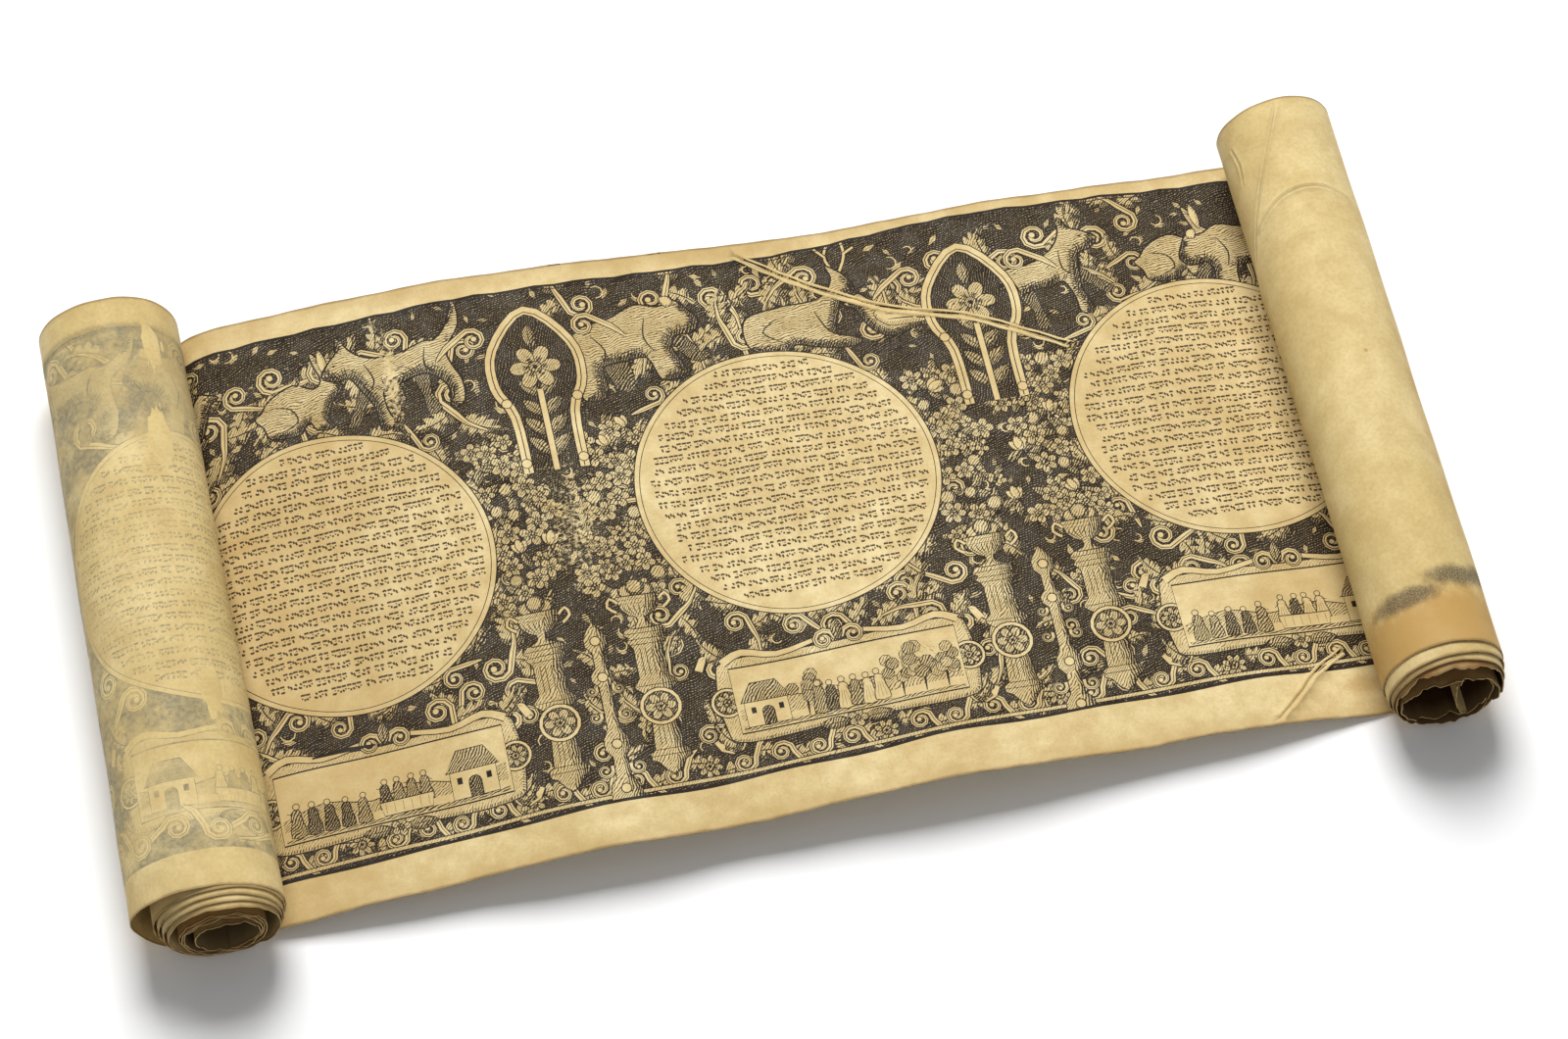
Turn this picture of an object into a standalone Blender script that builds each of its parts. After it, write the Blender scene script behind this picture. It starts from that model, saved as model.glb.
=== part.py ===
"""An Esther scroll: one sheet of parchment, rolled up from both ends and lying partly open.

The sheet runs along X from the inner end of the left roll to the inner end of the right roll, and
across Y from its near edge to its far edge. It is one flat grid that a function rolls up: each
column of the grid is a straight line across the sheet, from a near section to a far section.
Run it with blender --background --python part.py, or from the text editor.
"""
import math

import bmesh
import bpy

MM = 0.001

# The sheet
SHEET_HEIGHT = 250.0 * MM
PARCHMENT = 0.4 * MM
ROWS_ACROSS = 3
COLUMNS_A_TURN = 24
OPEN_COLUMNS = 66

# Distance between the axes of the two rolls, at the near and at the far edge
SPAN_NEAR = 461.6 * MM
SPAN_FAR = 460.0 * MM
FAR_SLIP = 2.8 * MM

# Left roll: outer width and height at each end, and the number of turns
LEFT_WIDTH_NEAR = 57.0 * MM
LEFT_HEIGHT_NEAR = 48.5 * MM
LEFT_WIDTH_FAR = 53.4 * MM
LEFT_HEIGHT_FAR = 54.6 * MM
LEFT_TURNS = 9.0
LEFT_PITCH = 0.85 * MM

# Right roll: the same sizes
RIGHT_WIDTH_NEAR = 46.8 * MM
RIGHT_HEIGHT_NEAR = 48.4 * MM
RIGHT_WIDTH_FAR = 46.2 * MM
RIGHT_HEIGHT_FAR = 43.6 * MM
RIGHT_TURNS = 5.95
RIGHT_PITCH = 1.0 * MM

# Width of the flat spot that each roll lies on
FLAT_SPOT = 16.0 * MM

# Crescents of air between turns: the turn inside the gap, the side that it is on, its depth.
# A roll's outer side faces away from the open sheet, and its inner side faces the open sheet.
LEFT_GAPS = (
    (1, "outer", 7.2 * MM),
    (2, "outer", 0.6 * MM),
    (3, "outer", 0.6 * MM),
    (4, "outer", 0.6 * MM),
    (5, "outer", 3.0 * MM),
    (5, "top", 11.0 * MM),
    (5, "inner", 4.2 * MM),
    (8, "outer", 3.0 * MM),
    (8, "top", 4.6 * MM),
)
RIGHT_GAPS = (
    (4, "top", 9.6 * MM),
    (4, "inner", 0.8 * MM),
    (5, "below", 3.0 * MM),
    (5, "outer", 0.6 * MM),
    (5, "top", 4.0 * MM),
    (5, "inner", 20.4 * MM),
)

# How far each place of a roll stands out of its near end: the turns inwards, and the distance
LEFT_PROUD = (
    (0.0, 0.0),
    (0.2, -3.0 * MM),
    (0.5, 0.0),
    (1.5, 1.0 * MM),
    (2.5, 3.5 * MM),
    (3.5, 6.0 * MM),
    (4.0, 4.6 * MM),
    (4.5, 8.4 * MM),
    (5.0, 5.0 * MM),
    (9.0, 5.4 * MM),
)
RIGHT_PROUD = (
    (0.0, 0.0),
    (1.0, 0.6 * MM),
    (1.5, 5.4 * MM),
    (2.5, 7.5 * MM),
    (3.5, 9.8 * MM),
    (5.0, 9.6 * MM),
    (5.5, 6.0 * MM),
    (5.95, 8.6 * MM),
)

# The open sheet's height at shares of the span, at the near and at the far edge
NEAR_WAVE = (
    (0.065, 5.2 * MM),
    (0.19, 10.9 * MM),
    (0.315, 16.6 * MM),
    (0.445, 14.0 * MM),
    (0.60, 18.2 * MM),
    (0.73, 13.0 * MM),
    (0.86, 9.0 * MM),
    (0.94, 2.4 * MM),
)
FAR_WAVE = (
    (0.07, 17.0 * MM),
    (0.155, 21.8 * MM),
    (0.32, 23.4 * MM),
    (0.455, 15.2 * MM),
    (0.60, 7.6 * MM),
    (0.70, 8.9 * MM),
    (0.83, 5.2 * MM),
    (0.94, 1.4 * MM),
)

PARCHMENT_COLOUR = (0.72, 0.60, 0.36, 1.0)
PARCHMENT_ROUGHNESS = 0.55

SCROLL_NAME = "parchment_scroll"

# Share of a turn at which the sheet passes each side of a roll
SIDE_PHASE = {"outer": 0.25, "top": 0.5, "inner": 0.75, "below": 0.0}


def clear_scene():
    """Remove every object, so that the script starts from an empty scene."""
    for old in list(bpy.data.objects):
        bpy.data.objects.remove(old, do_unlink=True)


def smooth_curve(stations, place):
    """Height of a smooth curve through the stations at a place along them."""
    last = len(stations) - 1
    index = 0
    while index < last - 1 and place > stations[index + 1][0]:
        index += 1
    x0, y0 = stations[index]
    x1, y1 = stations[index + 1]

    def slope(at):
        before = stations[max(at - 1, 0)]
        after = stations[min(at + 1, last)]
        if at in (0, last):
            return 0.0
        return (after[1] - before[1]) / (after[0] - before[0])

    width = x1 - x0
    share = min(max((place - x0) / width, 0.0), 1.0)
    square = share * share
    cube = square * share
    return (
        (2 * cube - 3 * square + 1) * y0
        + (cube - 2 * square + share) * width * slope(index)
        + (3 * square - 2 * cube) * y1
        + (cube - square) * width * slope(index + 1)
    )


def proud(stations, turns):
    """How far a place of a roll stands out, straight from one station to the next."""
    for (start, low), (end, high) in zip(stations, stations[1:]):
        if turns <= end:
            return low + (high - low) * (turns - start) / (end - start)
    return stations[-1][1]


def inset(turns, side, pitch, gaps):
    """Distance of a turn inside the roll's outer outline on one side: the pitch and the gaps."""
    depth = pitch * turns
    for turn, gap_side, size in gaps:
        if gap_side == side:
            share = min(max(turns - (turn - 1 + SIDE_PHASE[side]), 0.0), 1.0)
            depth += size * share * share * (3 - 2 * share)
    return depth


def roll_section(turns, width, height, pitch, gaps):
    """Distance outwards from the roll's axis, and height above the ground, of a place in a roll.

    Every turn is an ellipse between its four insets, cut flat below by the same share.
    """
    outer, top, inner, below = (inset(turns, side, pitch, gaps) for side in SIDE_PHASE)
    reach_out = width / 2 - outer
    reach_in = width / 2 - inner
    cut = 1 - math.sqrt(1 - (FLAT_SPOT / width) ** 2)
    half_height = (height - top - below) / (2 - cut)
    angle = 2 * math.pi * turns
    outwards = (reach_out - reach_in) / 2 + (reach_out + reach_in) / 2 * math.sin(angle)
    up = height - top - half_height * (1 + math.cos(angle))
    return outwards, max(up, below)


def open_height(place, wave, span):
    """Height of the open sheet at a distance from the left roll's axis."""
    flat = FLAT_SPOT / 2 / span
    stations = ((flat, 0.0),) + wave + ((1 - flat, 0.0),)
    share = place / span
    if share <= flat or share >= 1 - flat:
        return 0.0
    return smooth_curve(stations, share)


def columns():
    """Both sections of the whole sheet, column by column, and each column's shift along the roll."""
    left_steps = round(LEFT_TURNS * COLUMNS_A_TURN)
    right_steps = round(RIGHT_TURNS * COLUMNS_A_TURN)
    for step in range(left_steps, 0, -1):
        turns = step / COLUMNS_A_TURN
        near = roll_section(turns, LEFT_WIDTH_NEAR, LEFT_HEIGHT_NEAR, LEFT_PITCH, LEFT_GAPS)
        far = roll_section(turns, LEFT_WIDTH_FAR, LEFT_HEIGHT_FAR, LEFT_PITCH, LEFT_GAPS)
        shift = proud(LEFT_PROUD, turns)
        yield (-SPAN_NEAR / 2 - near[0], near[1]), (-SPAN_FAR / 2 - far[0], far[1]), shift
    for step in range(OPEN_COLUMNS + 1):
        share = step / OPEN_COLUMNS
        near_x = share * SPAN_NEAR
        far_x = share * SPAN_FAR
        near = (near_x - SPAN_NEAR / 2, open_height(near_x, NEAR_WAVE, SPAN_NEAR))
        far = (far_x - SPAN_FAR / 2, open_height(far_x, FAR_WAVE, SPAN_FAR))
        yield near, far, 0.0
    for step in range(1, right_steps + 1):
        turns = step / COLUMNS_A_TURN
        near = roll_section(turns, RIGHT_WIDTH_NEAR, RIGHT_HEIGHT_NEAR, RIGHT_PITCH, RIGHT_GAPS)
        far = roll_section(turns, RIGHT_WIDTH_FAR, RIGHT_HEIGHT_FAR, RIGHT_PITCH, RIGHT_GAPS)
        shift = proud(RIGHT_PROUD, turns)
        yield (SPAN_NEAR / 2 + near[0], near[1]), (SPAN_FAR / 2 + far[0], far[1]), shift


def parchment_material():
    """Plain parchment: its colour and its dull surface."""
    material = bpy.data.materials.new("parchment")
    material.use_nodes = True
    shader = material.node_tree.nodes["Principled BSDF"]
    shader.inputs["Base Color"].default_value = PARCHMENT_COLOUR
    shader.inputs["Roughness"].default_value = PARCHMENT_ROUGHNESS
    shader.inputs["Metallic"].default_value = 0.0
    return material


def rolled_sheet(collection):
    """The whole sheet as one shell: a flat grid, rolled up column by column, then given thickness."""
    sections = list(columns())
    mesh = bpy.data.meshes.new(SCROLL_NAME)
    grid = bmesh.new()
    bmesh.ops.create_grid(grid, x_segments=len(sections) - 1, y_segments=ROWS_ACROSS, size=1.0)
    places = []
    for vertex in grid.verts:
        column = round((vertex.co.x + 1) / 2 * (len(sections) - 1))
        across = (vertex.co.y + 1) / 2
        near, far, shift = sections[column]
        x = near[0] + (far[0] - near[0]) * across + FAR_SLIP * across
        y = (across - 0.5) * SHEET_HEIGHT - shift
        z = near[1] + (far[1] - near[1]) * across
        places.append((x, y, z))
        vertex.co = places[-1]
    half = PARCHMENT / 2
    middle = [(min(axis) + max(axis)) / 2 for axis in list(zip(*places))[:2]]
    bmesh.ops.translate(grid, verts=grid.verts, vec=(-middle[0], -middle[1], half))
    grid.to_mesh(mesh)
    grid.free()
    mesh.materials.append(parchment_material())
    mesh.shade_smooth()
    sheet = bpy.data.objects.new(SCROLL_NAME, mesh)
    collection.objects.link(sheet)
    shell = sheet.modifiers.new("parchment thickness", "SOLIDIFY")
    shell.thickness = PARCHMENT
    shell.offset = 0.0
    shell.use_even_offset = True
    return sheet


def main():
    clear_scene()
    collection = bpy.data.collections.new("esther_scroll")
    bpy.context.scene.collection.children.link(collection)
    rolled_sheet(collection)


main()
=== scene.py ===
"""The looks of an Esther scroll: aged parchment, an etched border, and brown script in round panels.

The sheet is modelled as one ribbon in eight meshes that share their borders: the open sheet in four
parts, and the outer turn and the inner turns of both rolls. A place on it is given in the sheet's own
plane: along it from the middle of the open part, and across it from the middle to the near (-) and
far (+) edge.
"""
import cmath
import math
import random
from collections import namedtuple

import bpy
import numpy as np
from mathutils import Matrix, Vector
from mathutils.geometry import delaunay_2d_cdt


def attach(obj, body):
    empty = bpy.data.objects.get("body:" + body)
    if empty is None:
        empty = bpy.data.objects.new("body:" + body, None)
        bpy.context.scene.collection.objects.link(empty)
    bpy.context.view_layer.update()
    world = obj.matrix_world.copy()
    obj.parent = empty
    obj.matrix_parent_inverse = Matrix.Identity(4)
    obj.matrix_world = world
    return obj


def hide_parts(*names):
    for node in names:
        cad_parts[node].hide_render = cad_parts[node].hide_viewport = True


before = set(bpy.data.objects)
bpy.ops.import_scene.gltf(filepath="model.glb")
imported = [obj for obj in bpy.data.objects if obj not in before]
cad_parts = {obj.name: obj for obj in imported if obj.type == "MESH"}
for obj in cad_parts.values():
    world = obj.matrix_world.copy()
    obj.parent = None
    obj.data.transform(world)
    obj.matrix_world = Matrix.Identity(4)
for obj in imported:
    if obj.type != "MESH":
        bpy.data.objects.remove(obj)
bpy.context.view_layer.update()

bl_info = {
    "name": "Esther Scroll",
    "version": (1, 0, 0),
    "blender": (4, 5, 0),
    "location": "View3D > Sidebar > Scroll",
    "description": "Builds an open parchment scroll with an etched border",
    "category": "Add Mesh",
}

MM = 0.001
NODE = "parchment_scroll"
BODY = "root"

# Crescents of air between turns: the turn inside the gap, the side that it is on, its depth in millimetres
LEFT_GAPS = (
    (1, "outer", 7.2),
    (2, "outer", 0.6),
    (3, "outer", 0.6),
    (4, "outer", 0.6),
    (5, "outer", 3.0),
    (5, "top", 11.0),
    (5, "inner", 4.2),
    (8, "outer", 3.0),
    (8, "top", 4.6),
)
RIGHT_GAPS = (
    (4, "top", 9.6),
    (4, "inner", 0.8),
    (5, "below", 3.0),
    (5, "outer", 0.6),
    (5, "top", 4.0),
    (5, "inner", 20.4),
)

# How far each place of a roll stands out of its near end: turns inwards, and millimetres
LEFT_PROUD = (
    (0.0, 0.0),
    (0.2, -3.0),
    (0.5, 0.0),
    (1.5, 1.0),
    (2.5, 3.5),
    (3.5, 6.0),
    (4.0, 4.6),
    (4.5, 8.4),
    (5.0, 5.0),
    (9.0, 5.4),
)
RIGHT_PROUD = (
    (0.0, 0.0),
    (1.0, 0.6),
    (1.5, 5.4),
    (2.5, 7.5),
    (3.5, 9.8),
    (5.0, 9.6),
    (5.5, 6.0),
    (5.95, 8.6),
)

# The open sheet's height in millimetres at shares of the span, at the near and at the far edge
NEAR_WAVE = (
    (0.065, 5.2),
    (0.19, 10.9),
    (0.315, 16.6),
    (0.445, 14.0),
    (0.60, 18.2),
    (0.73, 13.0),
    (0.86, 9.0),
    (0.94, 2.4),
)
FAR_WAVE = (
    (0.07, 17.0),
    (0.155, 21.8),
    (0.32, 23.4),
    (0.455, 15.2),
    (0.60, 7.6),
    (0.70, 8.9),
    (0.83, 5.2),
    (0.94, 1.4),
)

# Share of a turn at which the sheet passes each side of a roll
SIDE_PHASE = {"outer": 0.25, "top": 0.5, "inner": 0.75, "below": 0.0}
SOLID_COLUMNS_A_TURN = 24

# side is -1 for the left roll and 1 for the right one; near and far are each end's width and height
Roll = namedtuple("Roll", "side turns pitch near far gaps proud")

# Steps to both sides of a place, for slopes: in turns and shares, and in millimetres
TINY = 1e-3
NEARBY = 0.05

# Distance between a mesh's own points, in millimetres: along its edge, on its drawn side, on its back
EDGE_SPACING = 2.0
TOP_SPACING = 4.0
BACK_SPACING = 6.0

# Longest step along a drawn shape on the open sheet and on an outer turn, in millimetres
OPEN_STEP = 6.0
TURN_STEP = 3.0

# Where the open sheet's mesh is parted, along the sheet in millimetres
PART_BORDERS = (-116.0, -2.0, 112.0)
PART_NAMES = ("open_sheet_left", "open_sheet_mid_left", "open_sheet_mid_right", "open_sheet_right")

# A roll's grid: columns in each turn, and rows from the near to the far edge
ROLL_COLUMNS_A_TURN = 72
ROLL_ROWS = 50

# The sides of the sheet, as their materials' numbers: written, back and cut edge
RECTO, VERSO, EDGE = 0, 1, 2
SIDE_NAMES = ("parchment_recto", "parchment_verso", "parchment_edge")


def length(name, description, default):
    """A described length, given in millimetres."""
    return bpy.props.FloatProperty(
        name=name, description=description, default=default * MM, precision=4, unit="LENGTH")


def roll_end(name, description, default):
    """The described width and height of a roll's end, given in millimetres."""
    return bpy.props.FloatVectorProperty(
        name=name, description=description, size=2, default=[side * MM for side in default], unit="LENGTH")


def turn_count(name, description, default):
    """A described number of turns."""
    return bpy.props.FloatProperty(name=name, description=description, default=default)


def colour(name, description, default):
    """A described colour."""
    return bpy.props.FloatVectorProperty(
        name=name, description=description, default=default, subtype="COLOR", min=0.0, max=1.0)


class ScrollSizes(bpy.types.PropertyGroup):
    """Sizes of the sheet and its two rolls, the same as the solid's."""

    height: length("Sheet Height", "Width of the parchment across the rolls", 250.0)
    thickness: length("Thickness", "Thickness of the parchment", 0.4)
    span_near: length("Span at the Near Edge", "Distance between the two contact lines, near edge", 461.6)
    span_far: length("Span at the Far Edge", "Distance between the two contact lines, far edge", 460.0)
    far_slip: length("Far Slip", "How far the far edge lies to the right of the near edge", 2.8)
    flat_spot: length("Flat Spot", "Width of the flat spot under each roll", 16.0)
    left_near: roll_end("Left Roll, Near End", "Width and height there", (57.0, 48.5))
    left_far: roll_end("Left Roll, Far End", "Width and height there", (53.4, 54.6))
    left_turns: turn_count("Left Turns", "Number of turns in the left roll", 9.0)
    left_pitch: length("Left Pitch", "Distance from turn to turn in the left roll", 0.85)
    right_near: roll_end("Right Roll, Near End", "Width and height there", (46.8, 48.4))
    right_far: roll_end("Right Roll, Far End", "Width and height there", (46.2, 43.6))
    right_turns: turn_count("Right Turns", "Number of turns in the right roll", 5.95)
    right_pitch: length("Right Pitch", "Distance from turn to turn in the right roll", 1.0)


def smooth_curve(stations, places):
    """Heights of a smooth curve through the stations, level at both ends, at an array of places."""
    xs, ys = np.array(stations).T
    slopes = np.zeros(len(ys))
    slopes[1:-1] = (ys[2:] - ys[:-2]) / (xs[2:] - xs[:-2])
    index = np.clip(np.searchsorted(xs, places, side="right") - 1, 0, len(xs) - 2)
    width = xs[index + 1] - xs[index]
    share = np.clip((places - xs[index]) / width, 0.0, 1.0)
    square = share * share
    cube = square * share
    return (
        (2 * cube - 3 * square + 1) * ys[index]
        + (cube - 2 * square + share) * width * slopes[index]
        + (3 * square - 2 * cube) * ys[index + 1]
        + (cube - square) * width * slopes[index + 1]
    )


def smooth_step(low, high, value):
    """0 below low, 1 above high, and a smooth rise between them."""
    share = np.clip((value - low) / (high - low), 0.0, 1.0)
    return share * share * (3 - 2 * share)


def inset(turns, side, pitch, gaps):
    """Distance of a turn inside the roll's outer outline on one side: the pitch and the gaps."""
    depth = pitch * turns
    for turn, gap_side, size in gaps:
        if gap_side == side:
            start = turn - 1 + SIDE_PHASE[side]
            depth = depth + size * MM * smooth_step(start, start + 1, turns)
    return depth


def roll_section(turns, size, pitch, gaps, flat_spot):
    """Distance outwards from the roll's axis, and height above the ground, of places in a roll."""
    width, height = size
    outer, top, inner, below = (inset(turns, side, pitch, gaps) for side in SIDE_PHASE)
    reach_out = width / 2 - outer
    reach_in = width / 2 - inner
    cut = 1 - math.sqrt(1 - (flat_spot / width) ** 2)
    half_height = (height - top - below) / (2 - cut)
    angle = 2 * math.pi * turns
    outwards = (reach_out - reach_in) / 2 + (reach_out + reach_in) / 2 * np.sin(angle)
    up = height - top - half_height * (1 + np.cos(angle))
    return outwards, np.maximum(up, below)


def open_height(share, wave, flat):
    """Height of the open sheet at a share of the span; flat is the flat spot's own share."""
    stations = ((flat, 0.0), *((place, height * MM) for place, height in wave), (1 - flat, 0.0))
    lying = (share <= flat) | (share >= 1 - flat)
    return np.where(lying, 0.0, smooth_curve(stations, share))


def rolls(sizes):
    """Both rolls of the sheet, left and right."""
    left = Roll(-1, sizes.left_turns, sizes.left_pitch, tuple(sizes.left_near), tuple(sizes.left_far),
                LEFT_GAPS, LEFT_PROUD)
    right = Roll(1, sizes.right_turns, sizes.right_pitch, tuple(sizes.right_near), tuple(sizes.right_far),
                 RIGHT_GAPS, RIGHT_PROUD)
    return left, right


def ragged(along, edge):
    """How far the cut edge strays from a straight line, for places along the sheet in millimetres."""
    start = 1.7 if edge > 0 else 0.4
    return MM * (
        0.26 * np.sin(along / 23.0 + start)
        + 0.15 * np.sin(along / 7.1 + 2.3 * start)
        + 0.07 * np.sin(along / 2.3 + 5.1 * start)
    )


def strays(along, share):
    """The ragged edges' shift of a place, which dies out towards the middle of the sheet."""
    near = ragged(along, -1) * smooth_step(0.06, 0.0, share)
    far = ragged(along, 1) * smooth_step(0.94, 1.0, share)
    return near + far


def raw_roll(sizes, roll, turns, share):
    """Places in a roll before the frame's shift: turns inwards, share across from the near edge."""
    near = roll_section(turns, roll.near, roll.pitch, roll.gaps, sizes.flat_spot)
    far = roll_section(turns, roll.far, roll.pitch, roll.gaps, sizes.flat_spot)
    near_x = roll.side * (sizes.span_near / 2 + near[0])
    far_x = roll.side * (sizes.span_far / 2 + far[0])
    x = near_x + (far_x - near_x) * share + sizes.far_slip * share
    stations, distances = np.array(roll.proud).T
    out = np.interp(turns, stations, distances * MM)
    y = (share - 0.5) * sizes.height - out
    z = near[1] + (far[1] - near[1]) * share
    return x, y, z


def raw_open(sizes, along, share):
    """Places on the open sheet before the frame's shift, along it in millimetres from its middle."""
    place = along * MM / sizes.span_near + 0.5
    near_z = open_height(place, NEAR_WAVE, sizes.flat_spot / 2 / sizes.span_near)
    far_z = open_height(place, FAR_WAVE, sizes.flat_spot / 2 / sizes.span_far)
    near_x = (place - 0.5) * sizes.span_near
    far_x = (place - 0.5) * sizes.span_far
    x = near_x + (far_x - near_x) * share + sizes.far_slip * share
    y = (share - 0.5) * sizes.height
    z = near_z + (far_z - near_z) * share
    return x, y, z


def frame_shift(sizes):
    """The shift that puts the middle of the whole scroll's box over the frame's origin."""
    xs, ys = [], []
    for roll in rolls(sizes):
        steps = round(roll.turns * SOLID_COLUMNS_A_TURN)
        turns = np.arange(steps + 1) / SOLID_COLUMNS_A_TURN
        for share in (0.0, 1.0):
            x, y, _ = raw_roll(sizes, roll, turns, share)
            xs.extend(x)
            ys.extend(y)
    middle_x = (min(xs) + max(xs)) / 2
    middle_y = (min(ys) + max(ys)) / 2
    return np.array((-middle_x, -middle_y, sizes.thickness / 2))


def grid_faces(columns, rows, flipped):
    """Faces of a closed shell of two grids, recto and verso, with their rims, and each face's side."""
    count = columns * rows
    faces = []
    sides = []

    def quad(corners, side):
        faces.append(corners[::-1] if flipped else corners)
        sides.append(side)

    for a in (column * rows + row for column in range(columns - 1) for row in range(rows - 1)):
        b = a + rows
        quad((a, b, b + 1, a + 1), RECTO)
        quad((count + a, count + a + 1, count + b + 1, count + b), VERSO)
    for column in range(columns - 1):
        a = column * rows
        b = a + rows
        quad((a, count + a, count + b, b), EDGE)
        a += rows - 1
        b += rows - 1
        quad((a, b, count + b, count + a), EDGE)
    for row in range(rows - 1):
        a = row
        quad((a, a + 1, count + a + 1, count + a), EDGE)
        a += (columns - 1) * rows
        quad((a, count + a, count + a + 1, a + 1), EDGE)
    return faces, sides


def roll_shell(sizes, name, roll):
    """A roll without its outer turn, as a closed shell of two grids, and its flat length in metres."""
    columns = round((roll.turns - 1) * ROLL_COLUMNS_A_TURN) + 1
    rows = ROLL_ROWS + 1
    turns = np.linspace(1.0, roll.turns, columns)[:, None] * np.ones(rows)
    share = np.linspace(0.0, 1.0, rows)[None, :] * np.ones((columns, 1))
    shift = frame_shift(sizes)

    def place(turns, share):
        return np.stack(raw_roll(sizes, roll, turns, share), axis=-1) + shift

    middle = place(turns, share)
    reaches, all_turns = arc_table(sizes, roll)
    reach = np.interp(turns[:, 0], all_turns, reaches)
    along = roll.side * (sizes.span_near / 2 / MM + reach)[:, None] * np.ones(rows)
    middle[..., 1] += strays(along, share) + MM * torn_rim(roll, turns) * smooth_step(0.10, 0.0, share)
    by_turn = place(turns + TINY, share) - place(turns - TINY, share)
    by_share = place(turns, share + TINY) - place(turns, share - TINY)
    normal = roll.side * np.cross(by_turn, by_share)
    normal /= np.linalg.norm(normal, axis=-1, keepdims=True)
    flare = (roll.pitch - 1.5 * sizes.thickness) * smooth_step(1.02, 1.25, turns)
    middle -= normal * (flare * smooth_step(0.10, 0.02, share))[..., None]
    skin = normal * sizes.thickness / 2
    corners = np.concatenate(((middle + skin).reshape(-1, 3), (middle - skin).reshape(-1, 3)))
    faces, sides = grid_faces(columns, rows, roll.side < 0)
    across = (share - 0.5) * sizes.height / MM
    # Each corner also carries how browned and darkened by painted shade it is deep in the roll
    flat = np.stack((along, across, deep_browning_and_shade(roll, turns, across)), axis=-1).reshape(-1, 3)
    made = mesh_object(name, corners, faces, sides, np.concatenate((flat, flat)))
    shade(made, np.concatenate((normal.reshape(-1, 3), -normal.reshape(-1, 3))))
    return made, float(reach[-1] - reach[0]) * MM


def arc_table(sizes, roll):
    """Lengths of parchment from a roll's contact line inwards, in millimetres, and their turns."""
    turns = np.linspace(0.0, roll.turns, round(roll.turns * ROLL_COLUMNS_A_TURN) + 1)
    line = np.stack(raw_roll(sizes, roll, turns, np.full(len(turns), 0.5)), axis=-1)
    lengths = np.linalg.norm(np.diff(line, axis=0), axis=1)
    return np.concatenate(((0.0,), np.cumsum(lengths))) / MM, turns


def torn_rim(roll, turns):
    """How far a roll's near rim is torn back (+) or stands out (-), in millimetres."""
    waver = np.sin(turns * 41.0 + 1.0) * np.sin(turns * 17.0)
    waver = waver + 0.6 * np.sin(turns * 97.0) * np.sin(turns * 29.0 + 0.7)
    if roll.side < 0:
        return 0.5 * waver * smooth_step(3.2, 5.0, turns)
    tears = 9.0 * np.maximum(0.0, np.sin(turns * 15.0 + 2.0) - 0.86)
    rise = smooth_step(roll.turns - 0.42, roll.turns - 0.06, turns)
    corner = rise * smooth_step(roll.turns + 0.03, roll.turns - 0.06, turns)
    frayed = 0.85 * waver + tears + 0.3 * np.sin(turns * 171.0)
    return smooth_step(2.4, 3.4, turns) * frayed - 2.5 * corner


def deep_browning_and_shade(roll, turns, across):
    """How browned and how darkened by painted shade the parchment is deep in a roll, 0 to 1; less so at the
    right roll's free near corner.
    """
    if roll.side < 0:
        return 0.85 * smooth_step(4.2, 5.4, turns)
    corner = smooth_step(roll.turns - 0.34, roll.turns - 0.1, turns) * smooth_step(-100.0, -116.0, across)
    return smooth_step(2.2, 3.4, turns) * (1.0 - 0.85 * corner)


def crease_relief(places, creases):
    """Height of two-line ridges along the creases, in millimetres, at complex places."""
    height = np.zeros(len(places))
    for crease in creases:
        line = bent(crease, 5)
        far = np.full(len(places), np.inf)
        for a, b in zip(line, line[1:]):
            share = np.clip(((places - a) * (b - a).conjugate()).real / abs(b - a) ** 2, 0.0, 1.0)
            far = np.minimum(far, np.abs(places - a - share * (b - a)))
        height += 0.62 * np.exp(-((far - 1.2) / 0.75) ** 2) - 0.35 * np.exp(-(far / 0.6) ** 2)
    return height


def cockling(sizes, along, across):
    """Height of the open sheet's cockling and creases, which die out where it meets the rolls."""
    half = sizes.span_near / 2 / MM
    calm = smooth_step(half, half - 26.0, np.abs(along))
    waves = (
        0.30 * np.sin(along / 13.0 + across / 29.0)
        + 0.22 * np.sin(along / 8.3 - across / 17.0 + 2.0)
        + 0.16 * np.sin(across / 9.7 + along / 41.0)
    )
    return MM * calm * (waves + crease_relief(along + 1j * across, CREASES))


def open_surface(sizes):
    """The function that puts flat places of the open sheet, in millimetres, where they lie."""
    shift = frame_shift(sizes)

    def place(along, across):
        share = across * MM / sizes.height + 0.5
        x, y, z = raw_open(sizes, along, share)
        return np.stack((x, y + strays(along, share), z + cockling(sizes, along, across)), axis=-1) + shift

    return place


def turn_surface(sizes, roll):
    """The function that puts flat places of a roll's outer turn, in millimetres, where they lie."""
    shift = frame_shift(sizes)
    reaches, all_turns = arc_table(sizes, roll)
    half = sizes.span_near / 2 / MM
    axis_x, axis_z = roll.side * sizes.span_near / 2, roll.near[1] / 2

    def place(along, across):
        share = across * MM / sizes.height + 0.5
        turns = np.interp(np.abs(along) - half, reaches, all_turns)
        x, y, z = raw_roll(sizes, roll, turns, share)
        calm = smooth_step(0.08, 0.25, turns) * smooth_step(0.98, 0.85, turns)
        dents = (0.14 * np.sin(along / 9.0 + across / 21.0) + 0.10 * np.sin(along / 17.0 - across / 8.0)
                 + 0.45 * crease_relief(along + 1j * across, ROLL_CREASES))
        out_x, out_z = x - axis_x, z - axis_z
        share_out = MM * calm * dents / np.hypot(out_x, out_z)
        dented = (x + out_x * share_out, y + strays(along, share), z + out_z * share_out)
        return np.stack(dented, axis=-1) + shift

    return place


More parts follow.
